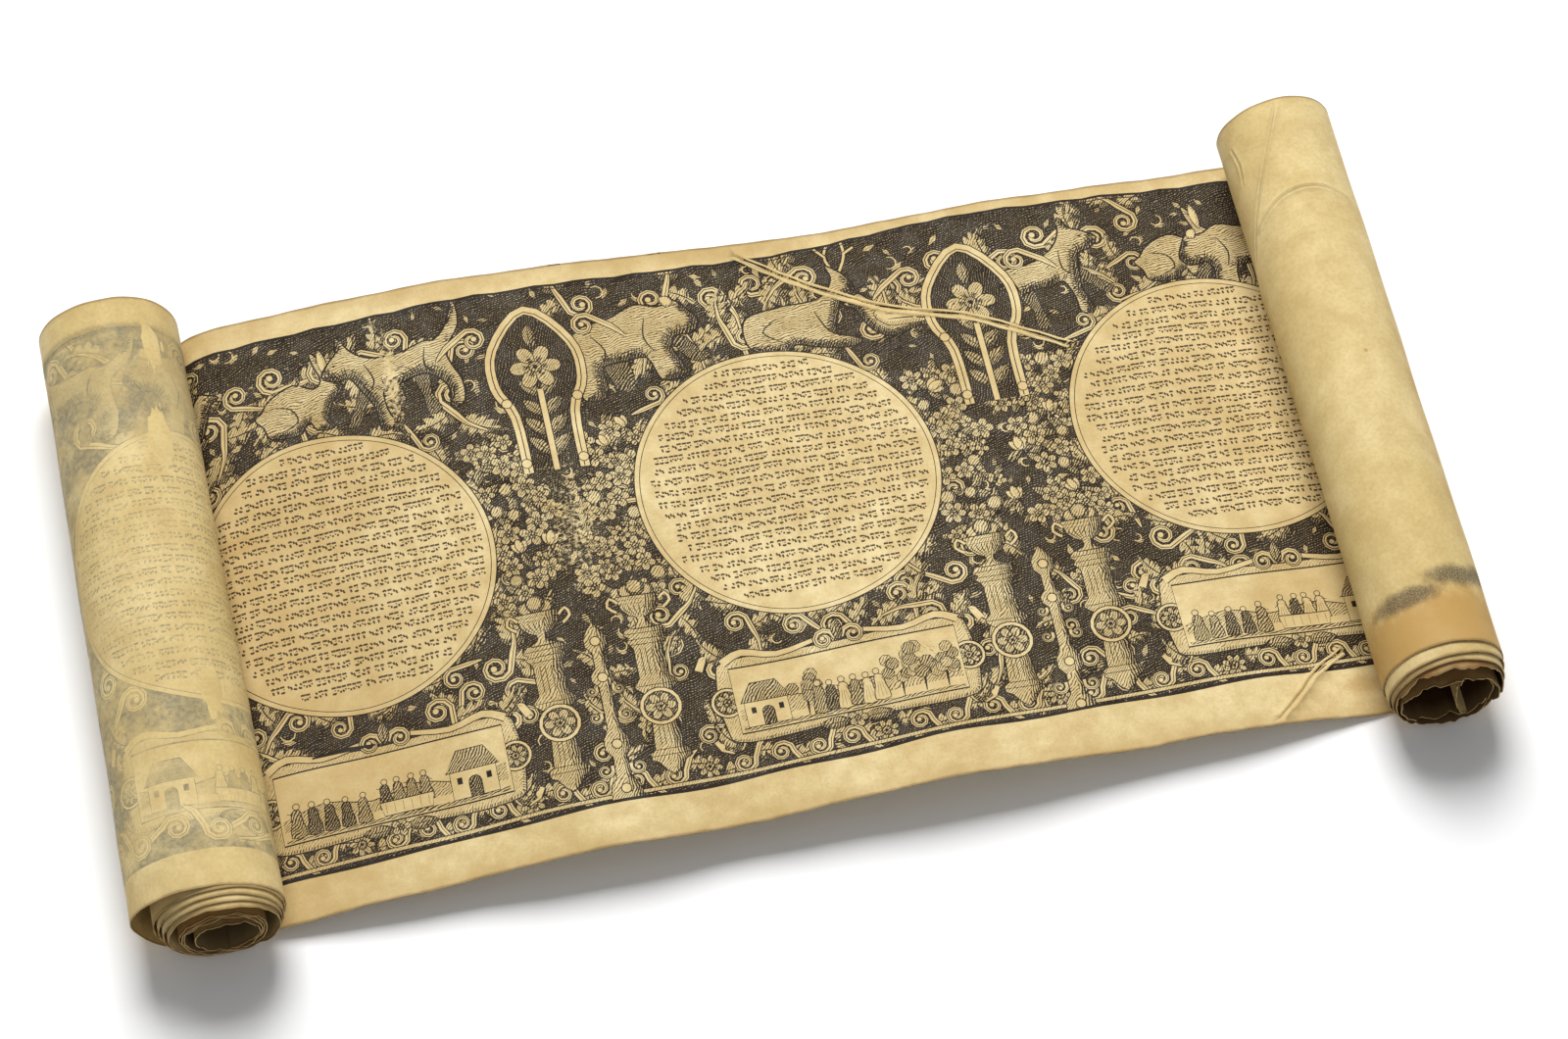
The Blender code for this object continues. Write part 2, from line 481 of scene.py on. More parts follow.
def with_normals(place, flat):
    """Middle of the parchment and its written side's normal at flat places."""
    along, across = flat.T
    by_along = place(along + NEARBY, across) - place(along - NEARBY, across)
    by_across = place(along, across + NEARBY) - place(along, across - NEARBY)
    normal = np.cross(by_along, by_across)
    return place(along, across), normal / np.linalg.norm(normal, axis=-1, keepdims=True)


def triangulated(border, shapes, spacing):
    """Triangles of a flat sheet cut along its shapes, and for each the last shape that covers it.

    The border is a closed line, and every place is a complex number in millimetres. A triangle that
    no shape covers gets -1.
    """
    xs = [corner.real for corner in border]
    ys = [corner.imag for corner in border]
    points = list(border)
    faces = [list(range(len(border)))]
    for shape in shapes:
        faces.append(list(range(len(points), len(points) + len(shape))))
        points.extend(shape)
    inner_xs = np.arange(min(xs) + spacing, max(xs) - spacing / 2, spacing)
    inner_ys = np.arange(min(ys) + spacing, max(ys) - spacing / 2, spacing)
    points.extend(complex(x, y) for x in inner_xs for y in inner_ys)
    made, _, triangles, _, _, covers = delaunay_2d_cdt(
        [Vector((point.real, point.imag)) for point in points], [], faces, 1, 1e-5)
    kept = [(corners, max(cover) - 1) for corners, cover in zip(triangles, covers) if 0 in cover]
    return np.array([tuple(point) for point in made]), kept


def border_line(sizes, left, right):
    """The edge of a part of the open sheet as a closed line, anticlockwise from its near left corner."""
    half_height = sizes.height / 2 / MM
    corners = [complex(left, -half_height), complex(right, -half_height),
               complex(right, half_height), complex(left, half_height)]
    line = []
    for start, end in zip(corners, corners[1:] + corners[:1]):
        steps = round(abs(end - start) / EDGE_SPACING)
        line.extend(start + (end - start) * step / steps for step in range(steps))
    return line


def fine_steps(outline, longest):
    """The outline with points added on its long sides, so that they bend with the sheet."""
    ends = np.roll(outline, -1)
    counts = np.maximum(np.ceil(np.abs(ends - outline) / longest), 1).astype(int)
    return np.concatenate([start + (end - start) * np.arange(count) / count
                           for start, end, count in zip(outline, ends, counts)])


def rim_loop(triangles):
    """The corners around a sheet of triangles, in the way that the triangles turn."""
    one_way = {(a, b) for corners, _ in triangles for a, b in zip(corners, corners[1:] + corners[:1])}
    rim = {a: b for a, b in one_way if (b, a) not in one_way}
    first = next(iter(rim))
    loop = [first]
    while rim[loop[-1]] != first:
        loop.append(rim[loop[-1]])
    return loop


def cut_shell(sizes, name, drawing, ends, place, drawn_side, longest):
    """A part of the sheet as a closed shell, one side of it cut along the drawing.

    The place function puts flat places where they lie, and the longest step limits the sides of the
    cut shapes. Gives the object, for each face the shape that covers it, and each corner's flat place.
    """
    left, right = ends
    touching = [index for index, shape in enumerate(drawing)
                if shape.outline.real.max() > left and shape.outline.real.min() < right]
    outlines = [fine_steps(drawing[index].outline, longest) for index in touching]
    flat, upper = triangulated(border_line(sizes, left, right), outlines, TOP_SPACING)
    loop = rim_loop(upper)
    under_flat, under = triangulated([complex(*flat[corner]) for corner in loop], [], BACK_SPACING)
    used = sorted({corner for corners, _ in upper for corner in corners})
    number = {corner: index for index, corner in enumerate(used)}
    count = len(used)
    facing = 1 if drawn_side == RECTO else -1
    half = facing * sizes.thickness / 2
    top, top_normal = with_normals(place, flat[used])
    back, back_normal = with_normals(place, under_flat)
    corners = np.concatenate((top + top_normal * half, back - back_normal * half))
    faces = [tuple(number[corner] for corner in triangle) for triangle, _ in upper]
    sides = [drawn_side] * len(faces)
    covers = [touching[cover] if cover >= 0 else -1 for _, cover in upper]
    for triangle, _ in under:
        faces.append(tuple(count + corner for corner in triangle[::-1]))
        sides.append(VERSO if drawn_side == RECTO else RECTO)
    for index, corner in enumerate(loop):
        ahead = (index + 1) % len(loop)
        faces.append((number[corner], count + index, count + ahead, number[loop[ahead]]))
        sides.append(EDGE)
    if facing < 0:
        faces = [face[::-1] for face in faces]
    covers += [-1] * (len(faces) - len(covers))
    places = np.concatenate((flat[used], under_flat))
    places = np.concatenate((places, np.zeros((len(places), 1))), axis=1)
    made = mesh_object(name, corners, faces, sides, places)
    shade(made, np.concatenate((facing * top_normal, -facing * back_normal)))
    return made, covers, places


def flat_length(place, ends):
    """Length of the parchment between two places along it, in metres."""
    stations = np.linspace(*ends, 400)
    line = place(stations, np.zeros(len(stations)))
    return float(np.linalg.norm(np.diff(line, axis=0), axis=1).sum())


def new_object(name, data):
    """A new object in the scene."""
    made = bpy.data.objects.new(name, data)
    bpy.context.scene.collection.objects.link(made)
    return made


def mesh_object(name, corners, faces, sides, places):
    """A smooth mesh object; each corner's place is along and across in millimetres, and how browned and
    darkened by painted shade it is deep in a roll.
    """
    mesh = bpy.data.meshes.new(name)
    mesh.from_pydata([tuple(corner) for corner in corners], [], faces)
    mesh.shade_smooth()
    for side in SIDE_NAMES:
        mesh.materials.append(bpy.data.materials[side])
    mesh.polygons.foreach_set("material_index", sides)
    attribute = mesh.attributes.new("place", "FLOAT_VECTOR", "POINT")
    attribute.data.foreach_set("vector", np.asarray(places, dtype=np.float32).ravel())
    return new_object(name, mesh)


def shade(made, normals):
    """Shade both skins by the given normals of their corners, and the cut edges flat."""
    mesh = made.data
    corners = np.empty(len(mesh.loops), dtype=np.int32)
    mesh.loops.foreach_get("vertex_index", corners)
    counts, sides = (np.empty(len(mesh.polygons), dtype=np.int32) for _ in range(2))
    mesh.polygons.foreach_get("loop_total", counts)
    mesh.polygons.foreach_get("material_index", sides)
    flat = np.empty(3 * len(mesh.polygons), dtype=np.float32)
    mesh.polygons.foreach_get("normal", flat)
    faces = np.repeat(np.arange(len(counts)), counts)
    edges = sides[faces] == EDGE
    shading = np.array(normals)[corners]
    shading[edges] = flat.reshape(-1, 3)[faces[edges]]
    mesh.normals_split_custom_set(shading.tolist())


def settle(piece, length, sizes):
    """Ride the piece on the scroll's body, in place of the solid. Its flat length is not used."""
    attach(piece, BODY)
    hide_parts(NODE)


# Tones of the etching, from bare parchment to solid ink
BARE = 0.0
FAINT = 0.13
LIGHT = 0.28
HALF = 0.50
DEEP = 0.72
GROUND = 0.92
INK = 1.0

# How much wider than stated the lines are inked
BOLD = 1.3

# Where the lit part of a shaded form lies from its middle, and the way its shaded side faces
LIT_SIDE = -0.10 + 0.09j
SHADED_SIDE = 0.6 - 0.8j

# tone and lean set the hatching; sepia is 1 for script ink and 0 for printing ink
Shape = namedtuple("Shape", "outline tone lean sepia")


class Pen:
    """Draws on the flat sheet, in a motif's own place, size, turn and side.

    Places are complex numbers, in the motif's own unit; widths of lines are in millimetres.
    """

    def __init__(self, shapes, origin=0j, factor=1 + 0j, flipped=False):
        self.shapes = shapes
        self.origin = origin
        self.factor = factor
        self.flipped = flipped

    @property
    def size(self):
        return abs(self.factor)

    def put(self, points):
        """The motif's own places as places on the sheet."""
        points = np.asarray(points, dtype=complex)
        return self.origin + self.factor * (points.conj() if self.flipped else points)

    def moved(self, place=0j, size=1.0, turn=0.0, flip=False):
        """A pen for a motif that stands in this one."""
        factor = size * cmath.exp(1j * turn)
        if self.flipped:
            factor = factor.conjugate()
        return Pen(self.shapes, complex(self.put(place)), self.factor * factor, self.flipped != flip)

    def add(self, outline, tone, lean, sepia=0.0):
        """Keep a shape whose outline is on the sheet, anticlockwise."""
        turned = np.sum((outline.conj() * np.roll(outline, -1)).imag)
        self.shapes.append(Shape(outline if turned > 0 else outline[::-1], tone, lean, sepia))

    def area(self, outline, tone, lean=0.3):
        """A form without an outline."""
        self.add(self.put(outline), tone, lean)

    def figure(self, outline, tone, line, shade=None, lean=0.9):
        """A form with an inked outline and, where a shade is given, a shaded lower right side."""
        outline = self.put(outline)
        self.add(grown(outline, line * BOLD), INK, lean)
        if shade is None:
            self.add(outline, tone, lean)
            return
        middle = outline.mean()
        self.add(outline, shade, lean)
        self.add(middle + (outline - middle) * 0.76 + LIT_SIDE * np.abs(outline - middle).max(), tone, lean)

    def stroke(self, line, width, tone=INK, taper=0.35, sepia=0.0):
        """A line, widest at its middle."""
        line = self.put(line)
        ahead = np.gradient(line)
        ahead /= np.maximum(np.abs(ahead), 1e-9)
        swell = np.sin(np.linspace(0.0, math.pi, len(line)))
        side = 1j * ahead * width * BOLD / 2 * (taper + (1 - taper) * swell)
        self.add(np.concatenate((line - side, (line + side)[::-1])), tone, 0.0, sepia)

    def strap(self, line, widths, tone=BARE):
        """A band with inked edges; widths are in the motif's own unit."""
        line = self.put(line)
        ahead = np.gradient(line)
        ahead /= np.maximum(np.abs(ahead), 1e-9)
        side = 1j * ahead * np.asarray(widths) * self.size / 2
        for extra, fill in ((0.32 * BOLD, INK), (0.0, tone)):
            wide = side * (1 + extra / np.maximum(np.abs(side), 0.1))
            self.add(np.concatenate((line - wide, (line + wide)[::-1])), fill, 0.9)


def grown(outline, distance):
    """A closed outline moved outwards by a distance."""
    turned = np.sum((outline.conj() * np.roll(outline, -1)).imag)
    ahead = np.roll(outline, -1) - np.roll(outline, 1)
    ahead /= np.maximum(np.abs(ahead), 1e-9)
    return outline - 1j * ahead * distance * (1 if turned > 0 else -1)


def bent(points, steps=3, closed=False):
    """A smooth line through the points."""
    points = np.asarray(points, dtype=complex)
    if closed:
        before, here, there, after = (np.roll(points, -step) for step in range(4))
    else:
        padded = np.concatenate((points[:1], points, points[-1:]))
        before, here, there, after = padded[:-3], padded[1:-2], padded[2:-1], padded[3:]
    line = []
    for a, b, c, d in zip(before, here, there, after):
        for step in range(steps):
            t = step / steps
            line.append(0.5 * (2 * b + (c - a) * t + (2 * a - 5 * b + 4 * c - d) * t * t
                               + (3 * b - a - 3 * c + d) * t ** 3))
    if not closed:
        line.append(points[-1])
    return np.array(line)


def circle(radius, steps, middle=0j):
    """A closed outline of a circle."""
    return middle + radius * np.exp(2j * math.pi * np.arange(steps) / steps)


def arc(radius, start, end, steps, middle=0j):
    """A line along a part of a circle."""
    return middle + radius * np.exp(1j * np.linspace(start, end, steps))


def upright(profile):
    """Outline of a turned form from its heights and half widths, from the top down."""
    right = [complex(half, height) for height, half in profile]
    return np.array(right + [-corner.conjugate() for corner in reversed(right)])


def inside(outline, place):
    """Whether a place lies in a closed outline."""
    a, b = outline, np.roll(outline, -1)
    spans = (a.imag > place.imag) != (b.imag > place.imag)
    rise = np.where(spans, b.imag - a.imag, 1.0)
    cut = a.real + (place.imag - a.imag) * (b.real - a.real) / rise
    return np.count_nonzero(spans & (place.real < cut)) % 2 == 1


def leaf(pen, ribs=3):
    """A pointed leaf, one unit long, along x."""
    pen.figure(bent([0, 0.22 + 0.17j, 0.6 + 0.2j, 1, 0.6 - 0.2j, 0.22 - 0.17j], 2, True), HALF, 0.28, DEEP)
    pen.stroke([0, 0.45 + 0.02j, 0.9], 0.3)
    for rib in range(ribs):
        start = 0.2 + 0.2 * rib
        for side in (0.13j, -0.13j):
            pen.stroke([start, start + 0.16 + side], 0.22, DEEP)


def blossom(pen, petals=5, heart=0.24):
    """A flower of one unit's radius, seen from above."""
    for petal in range(petals):
        one = pen.moved(turn=2 * math.pi * petal / petals)
        wide = 2.05 / petals
        one.figure(bent([0.12, complex(0.5, wide * 0.8), complex(0.9, wide * 0.62), 1.0,
                         complex(0.9, -wide * 0.62), complex(0.5, -wide * 0.8)], 2, True), LIGHT, 0.3)
        one.area([heart * 0.8 + 0.05j, 0.5 + 0.12j, 0.46, 0.5 - 0.12j, heart * 0.8 - 0.05j], DEEP, 0.9)
        one.stroke([heart, 0.78], 0.24, INK)
    pen.figure(circle(heart, 10), HALF, 0.3)
    pen.area(circle(heart * 0.45, 6), INK)


def bell(pen):
    """A flower of three petals seen from its side, opening along x."""
    pen.stroke(bent([-0.9 - 0.25j, -0.4 - 0.12j, 0]), 0.5)
    for turn, long in ((0.55, 0.95), (-0.55, 0.95), (0.0, 1.05)):
        petal = pen.moved(turn=turn, size=long)
        outline = bent([0, 0.35 + 0.24j, 0.8 + 0.2j, 1.05, 0.8 - 0.2j, 0.35 - 0.24j], 2, True)
        petal.figure(outline, BARE, 0.26, LIGHT)
        petal.stroke([0.1, 0.75], 0.24, DEEP)


def fruit(pen):
    """A round fruit of one unit's radius."""
    pen.figure(circle(1.0, 12), LIGHT, 0.3, DEEP)
    pen.stroke(arc(0.72, -1.3, 0.5, 5), 0.22, INK)


def berries(pen, rng):
    """A loose heap of berries."""
    for _ in range(7):
        spot = complex(rng.uniform(-1, 1), rng.uniform(-1, 1)) * 0.8
        pen.figure(circle(0.3, 8, spot), LIGHT, 0.24)


# Stems that lead into a scroll, in the scroll's own unit
STEM = (1.9 - 2.6j, 1.7 - 1.4j, 1.3 - 0.6j)
SHORT_STEM = (2.6 - 1.2j, 1.8 - 0.9j)


def volute(pen, turns, wide, tail=()):
    """A scroll of one unit's radius around its own middle; its tail runs down from 1."""
    steps = round(turns * 9) + 1
    share = np.linspace(0.0, 1.0, steps)
    spiral = (1.0 - 0.74 * share ** 0.85) * np.exp(2j * math.pi * turns * share)
    stem = bent([*tail, 1.0, spiral[1]], 2)[:-4] if len(tail) else spiral[:0]
    line = np.concatenate((stem, spiral))
    widths = np.concatenate((np.linspace(wide * 0.25, wide, len(stem)), wide * (1 - 0.5 * share)))
    pen.strap(line, widths)
    pen.figure(circle(0.2, 8, spiral[-1] * 0.6), BARE, 0.26)
    pen.stroke((line * 1.04)[1:-2], 0.32, INK)


def acanthus(pen, lobes, curl):
    """A lobed leaf, one unit long, that bends to its left."""
    def spine(share):
        return share + 1j * curl * share ** 2

    def edge(side):
        line = []
        for lobe in range(lobes):
            share = (lobe + 0.5) / lobes
            wide = 0.30 * math.sin(math.pi * min(share + 0.14, 1.0)) ** 0.6 + 0.05
            notch = (lobe + 1.0) / lobes
            line.append(spine(share - 0.05) + side * 1j * wide * 0.8)
            line.append(spine(share + 0.10) + side * 1j * wide)
            line.append(spine(notch) + side * 1j * wide * 0.42 * (1 - notch * 0.8))
        return line

    outline = [spine(0)] + edge(1)[:-1] + [spine(1.04)] + edge(-1)[:-1][::-1]
    pen.figure(bent(outline, 2, True), LIGHT, 0.28, DEEP)
    pen.stroke([spine(share) for share in (0, 0.3, 0.6, 0.92)], 0.45)
    for lobe in range(lobes):
        share = (lobe + 0.3) / lobes
        for side in (1, -1):
            pen.stroke([spine(share), spine(share + 0.12) + side * 0.14j * (1.1 - share)], 0.24, DEEP)


def edge_marks(pen, shape, depth, step, width):
    """Short strokes inwards from the side of a shape that faces away from the light."""
    ahead = np.roll(shape, -1) - shape
    lengths = np.abs(ahead)
    turned = np.sum((shape.conj() * np.roll(shape, -1)).imag)
    outwards = -1j * ahead / np.maximum(lengths, 1e-9) * (1 if turned > 0 else -1)
    for corner, along, out, length in zip(shape, ahead, outwards, lengths):
        shade = (out * SHADED_SIDE.conjugate()).real
        if shade < 0.05:
            continue
        for share in np.arange(0.5, length / step + 0.5) * step / max(length, 1e-9):
            start = corner + along * min(share, 1.0)
            end = start - out * depth * (0.4 + 0.6 * shade) + along / max(length, 1e-9) * depth * 0.35
            pen.stroke([start, (start + end) / 2 + 0.06 * depth * along / max(length, 1e-9), end], width)


def shade_band(pen, shape, depth, tone, lean):
    """Hatched bands inside the sides of a shape that face away from the light."""
    ahead = np.roll(shape, -1) - np.roll(shape, 1)
    turned_left = np.sum((shape.conj() * np.roll(shape, -1)).imag) > 0
    outwards = -1j * ahead / np.maximum(np.abs(ahead), 1e-9) * (1 if turned_left else -1)
    away = (outwards * SHADED_SIDE.conjugate()).real
    start = int(np.argmin(away))
    run = []
    for step in range(len(shape) + 1):
        index = (start + step) % len(shape)
        if away[index] > 0.05 and step < len(shape):
            run.append(index)
        elif run:
            if len(run) > 2:
                inner = [shape[i] - outwards[i] * depth * min(1.0, away[i] + 0.25) for i in run]
                pen.area([shape[i] for i in run] + inner[::-1], tone, lean)
            run = []


def beast(pen, outline, rng, eye, parts=(), lines=(), far_legs=()):
    """An animal one unit long, its feet on the x axis: its outline, its marks and its coat."""
    for leg in far_legs:
        pen.figure(bent(leg, 2, True), DEEP, 0.3)
    shape = bent(outline, 3, True)
    pen.figure(shape, LIGHT, 0.55, lean=0.15)
    shade_band(pen, shape, 0.075, HALF, 0.35)
    shade_band(pen, shape, 0.040, DEEP, 1.1)
    high, low = max(shape.imag), min(shape.imag)
    coat = (cmath.exp(2.9j), cmath.exp(3.6j))
    for _ in range(340):
        spot = complex(rng.uniform(min(shape.real), max(shape.real)), rng.uniform(low, high))
        if not inside(shape, spot):
            continue
        depth = (high - spot.imag) / (high - low)
        back = (coat[0] + (coat[1] - coat[0]) * rng.random()) * rng.uniform(0.03, 0.06)
        if rng.random() > 0.25 + depth or not inside(shape, spot + back):
            continue
        pen.stroke([spot, spot + back], rng.uniform(0.22, 0.36), INK)
    edge_marks(pen, shape, 0.095, 0.024, 0.34)
    for part in parts:
        pen.figure(bent(part, 3, True), BARE, 0.3, LIGHT)
    for line in lines:
        pen.stroke(bent(line, 3), 0.5)
    pen.area([eye - 0.022, eye + 0.008j, eye + 0.02, eye - 0.012j], INK)
    pen.stroke([eye - 0.03 + 0.012j, eye + 0.024j, eye + 0.03 + 0.008j], 0.26)


def outlined(*numbers):
    """Places on an outline from their x and y by turns, in hundredths of a unit."""
    return [complex(x / 100, y / 100) for x, y in zip(numbers[::2], numbers[1::2])]


# Outlines of beasts one unit long that look along x, from the nose over the back
HOUND = outlined(99, 60, 90, 70, 83, 76, 80, 88, 74, 75, 66, 66, 56, 61, 38, 58, 18, 61, 8, 60, -4, 70, -14,
                 90, -12, 68, 3, 50, 3, 36, -1, 20, 2, 3, 12, 0, 9, 18, 19, 33, 32, 36, 47, 33, 58, 33, 60,
                 16, 58, 2, 68, 0, 67, 20, 73, 38, 79, 52, 90, 53)
HOUND_FAR_LEGS = (
    outlined(20, 36, 24, 18, 20, 2, 30, 0, 30, 18, 32, 34),
    outlined(66, 36, 76, 22, 84, 10, 92, 12, 82, 26, 74, 40),
)
BEAR = outlined(100, 40, 94, 54, 88, 62, 83, 60, 74, 60, 60, 66, 40, 60, 18, 58, 5, 48, 2, 28, 0, 6, 4, 0,
                16, 0, 20, 10, 22, 24, 40, 24, 55, 22, 58, 5, 62, 0, 76, 0, 77, 8, 74, 24, 80, 33, 92, 32)
STAG = outlined(102, 60, 95, 74, 89, 80, 80, 86, 84, 74, 77, 58, 62, 50, 38, 48, 12, 42, 1, 34, 0, 16, 8, 3,
                34, 0, 44, 7, 62, 3, 90, 0, 102, 5, 92, 10, 80, 14, 83, 30, 88, 48, 96, 54)
STAG_ANTLERS = (
    outlined(86, 80, 80, 98, 88, 116),
    outlined(81, 96, 72, 106),
    outlined(85, 108, 77, 118),
    outlined(91, 78, 98, 96, 96, 114),
    outlined(98, 98, 107, 104),
)
HARE = outlined(98, 48, 93, 60, 87, 66, 80, 84, 70, 98, 72, 82, 77, 62, 66, 52, 44, 62, 16, 50, 4, 36, -4,
                30, 4, 18, 10, 2, 40, 0, 47, 7, 56, 13, 62, 2, 78, 0, 80, 5, 76, 14, 82, 30, 88, 38)
BIRD = outlined(102, 70, 92, 77, 84, 82, 75, 74, 62, 62, 36, 52, 10, 44, -25, 30, -20, 20, 14, 28, 34, 24,
                56, 20, 74, 32, 84, 50, 90, 64)
BIRD_WING = outlined(70, 50, 60, 60, 36, 50, 6, 34, 34, 32, 56, 34)


def hound(pen, rng):
    """A lean dog with its tail up."""
    beast(pen, HOUND, rng, lines=((0.99 + 0.58j, 0.90 + 0.58j), (0.66 + 0.60j, 0.62 + 0.44j, 0.68 + 0.34j),
                                  (0.18 + 0.56j, 0.22 + 0.42j, 0.16 + 0.32j)),
          eye=0.88 + 0.66j, far_legs=HOUND_FAR_LEGS)


def bear(pen, rng):
    """A heavy bear, walking."""
    beast(pen, BEAR, rng, parts=((0.82 + 0.58j, 0.80 + 0.66j, 0.86 + 0.66j, 0.88 + 0.60j),),
          lines=((1.0 + 0.40j, 0.90 + 0.40j), (0.64 + 0.54j, 0.58 + 0.38j, 0.62 + 0.24j),
                 (0.22 + 0.50j, 0.28 + 0.36j, 0.22 + 0.24j)),
          eye=0.91 + 0.52j, far_legs=((0.24 + 0.30j, 0.26 + 0.04j, 0.38 + 0.0j, 0.40 + 0.26j),
                                      (0.76 + 0.30j, 0.84 + 0.10j, 0.94 + 0.08j, 0.86 + 0.30j)))


def stag(pen, rng):
    """A resting stag with branched antlers."""
    for points in STAG_ANTLERS:
        antler = bent(points, 3)
        pen.strap(antler, np.full(len(antler), 0.022))
    beast(pen, STAG, rng, lines=((1.02 + 0.58j, 0.95 + 0.59j), (0.64 + 0.40j, 0.72 + 0.22j, 0.80 + 0.14j),
                                 (0.30 + 0.36j, 0.16 + 0.22j, 0.36 + 0.08j)), eye=0.94 + 0.68j)


def hare(pen, rng):
    """A hare with its ears up."""
    beast(pen, HARE, rng, parts=((0.84 + 0.64j, 0.86 + 0.84j, 0.80 + 1.0j, 0.78 + 0.80j),),
          lines=((0.16 + 0.40j, 0.36 + 0.34j, 0.42 + 0.16j, 0.20 + 0.06j), (0.98 + 0.46j, 0.92 + 0.46j)),
          eye=0.90 + 0.55j)


def bird(pen, rng):
    """A long-tailed bird on its feet."""
    for foot in (0.46, 0.58):
        pen.stroke([complex(foot, 0.24), complex(foot + 0.02, 0.0), complex(foot + 0.12, -0.01)], 0.55, INK)
    beast(pen, BIRD, rng, parts=(BIRD_WING,), eye=0.88 + 0.74j,
          lines=((0.56 + 0.42j, 0.30 + 0.40j, 0.10 + 0.35j), (0.58 + 0.50j, 0.34 + 0.46j, 0.12 + 0.38j),
                 (0.10 + 0.40j, -0.20 + 0.27j), (0.10 + 0.34j, -0.18 + 0.23j)))


def bouquet(pen, rng, places):
    """Flowers, fruit and leaves, each at its own place, the lower ones over the higher ones."""
    for place in places:
        here = pen.moved(place, 1.0, rng.uniform(0, 2 * math.pi))
        for _ in range(2):
            leaf(here.moved(size=rng.uniform(6.0, 8.5), turn=rng.uniform(0, 2 * math.pi)))
    for place in places:
        kind = rng.random()
        here = pen.moved(place, 1.0, rng.uniform(-0.5, 0.5))
        if kind < 0.55:
            blossom(here.moved(size=rng.uniform(3.4, 4.8)), rng.choice((5, 5, 6)))
        elif kind < 0.72:
            bell(here.moved(size=rng.uniform(5.0, 6.5), turn=rng.uniform(0.6, 2.5)))
        elif kind < 0.88:
            fruit(here.moved(size=rng.uniform(2.6, 3.6)))
        else:
            berries(here.moved(size=3.6), rng)


def bowl(pen):
    """A footed bowl of fruit, one unit high."""
    for spot, size in ((-0.22 + 0.92j, 0.17), (0.22 + 0.92j, 0.17), (0.0 + 1.02j, 0.2)):
        fruit(pen.moved(spot, size))
    turned(pen, ((0.80, 0.46), (0.74, 0.50), (0.66, 0.44), (0.50, 0.40), (0.34, 0.26), (0.26, 0.10),
                 (0.16, 0.08), (0.08, 0.14), (0.02, 0.26), (0.0, 0.26)))
    for height, half in ((0.72, 0.47), (0.62, 0.42), (0.27, 0.12)):
        pen.stroke([complex(-half, height), complex(half, height)], 0.34)
    for rib in range(-3, 4):
        pen.stroke([0.12 * rib + 0.60j, 0.11 * rib + 0.48j, 0.05 * rib + 0.3j], 0.32)
    for side in (1, -1):
        handle = pen.moved(flip=side < 0, turn=0 if side > 0 else math.pi)
        handle.strap(bent([0.46 + 0.66j, 0.62 + 0.80j, 0.70 + 0.60j, 0.52 + 0.44j], 2), np.full(7, 0.06))


def turned(pen, profile):
    """A turned form from its profile, with its right side in shade."""
    pen.figure(upright(profile), LIGHT, 0.34)
    outer = [complex(half, height) for height, half in profile]
    for share, tone in ((0.30, HALF), (0.68, DEEP)):
        inner = [complex(half * share, height) for height, half in profile]
        pen.area(outer + inner[::-1], tone, 1.57)


def baluster(pen):
    """A turned post on a foot, one unit high, with mouldings, flutes and a rosette in a ring."""
    turned(pen, ((1.0, 0.095), (0.985, 0.12), (0.96, 0.13), (0.94, 0.10), (0.91, 0.12), (0.89, 0.10),
                 (0.86, 0.085), (0.66, 0.088), (0.62, 0.125), (0.60, 0.125), (0.56, 0.08), (0.36, 0.07),
                 (0.20, 0.085), (0.17, 0.085), (0.15, 0.12), (0.11, 0.12), (0.09, 0.08), (0.03, 0.04),
                 (0.0, 0.0)))
    mouldings = ((0.965, 0.13), (0.925, 0.105), (0.89, 0.10), (0.61, 0.12), (0.17, 0.085), (0.13, 0.12))
    for height, half in mouldings:
        pen.stroke([complex(-half, height), complex(half, height)], 0.62)
    for flute in (-0.05, -0.018, 0.018, 0.05):
        pen.stroke([complex(flute, 0.86), complex(flute, 0.68)], 0.62)
        pen.stroke([complex(flute * 0.8, 0.34), complex(flute * 0.9, 0.20)], 0.62)
    rosette = 0.46j
    pen.figure(circle(0.125, 16, rosette), BARE, 0.34)
    pen.figure(circle(0.100, 14, rosette), DEEP, 0.3)
    blossom(pen.moved(rosette, 0.092), 6, 0.3)


def pierced_post(pen):
    """Strapwork that runs up between two posts, one unit high, with studs and curled ends."""
    for side in (1, -1):
        half = pen.moved(flip=side < 0, turn=0 if side > 0 else math.pi)
        for place, size in ((0.085 + 0.17j, 0.045), (0.078 + 0.47j, 0.036), (0.07 + 0.62j, 0.032)):
            volute(half.moved(place, size, 2.6), 1.25, 0.42)
    turned(pen, ((1.0, 0.0), (0.96, 0.030), (0.92, 0.055), (0.87, 0.055), (0.83, 0.025), (0.74, 0.026),
                 (0.71, 0.055), (0.67, 0.055), (0.64, 0.026), (0.40, 0.030), (0.34, 0.060), (0.28, 0.062),
                 (0.24, 0.032), (0.12, 0.036), (0.08, 0.070), (0.0, 0.080)))
    for stud in (0.895, 0.69, 0.31, 0.06):
        pen.figure(circle(0.024, 9, 1j * stud), BARE, 0.34)


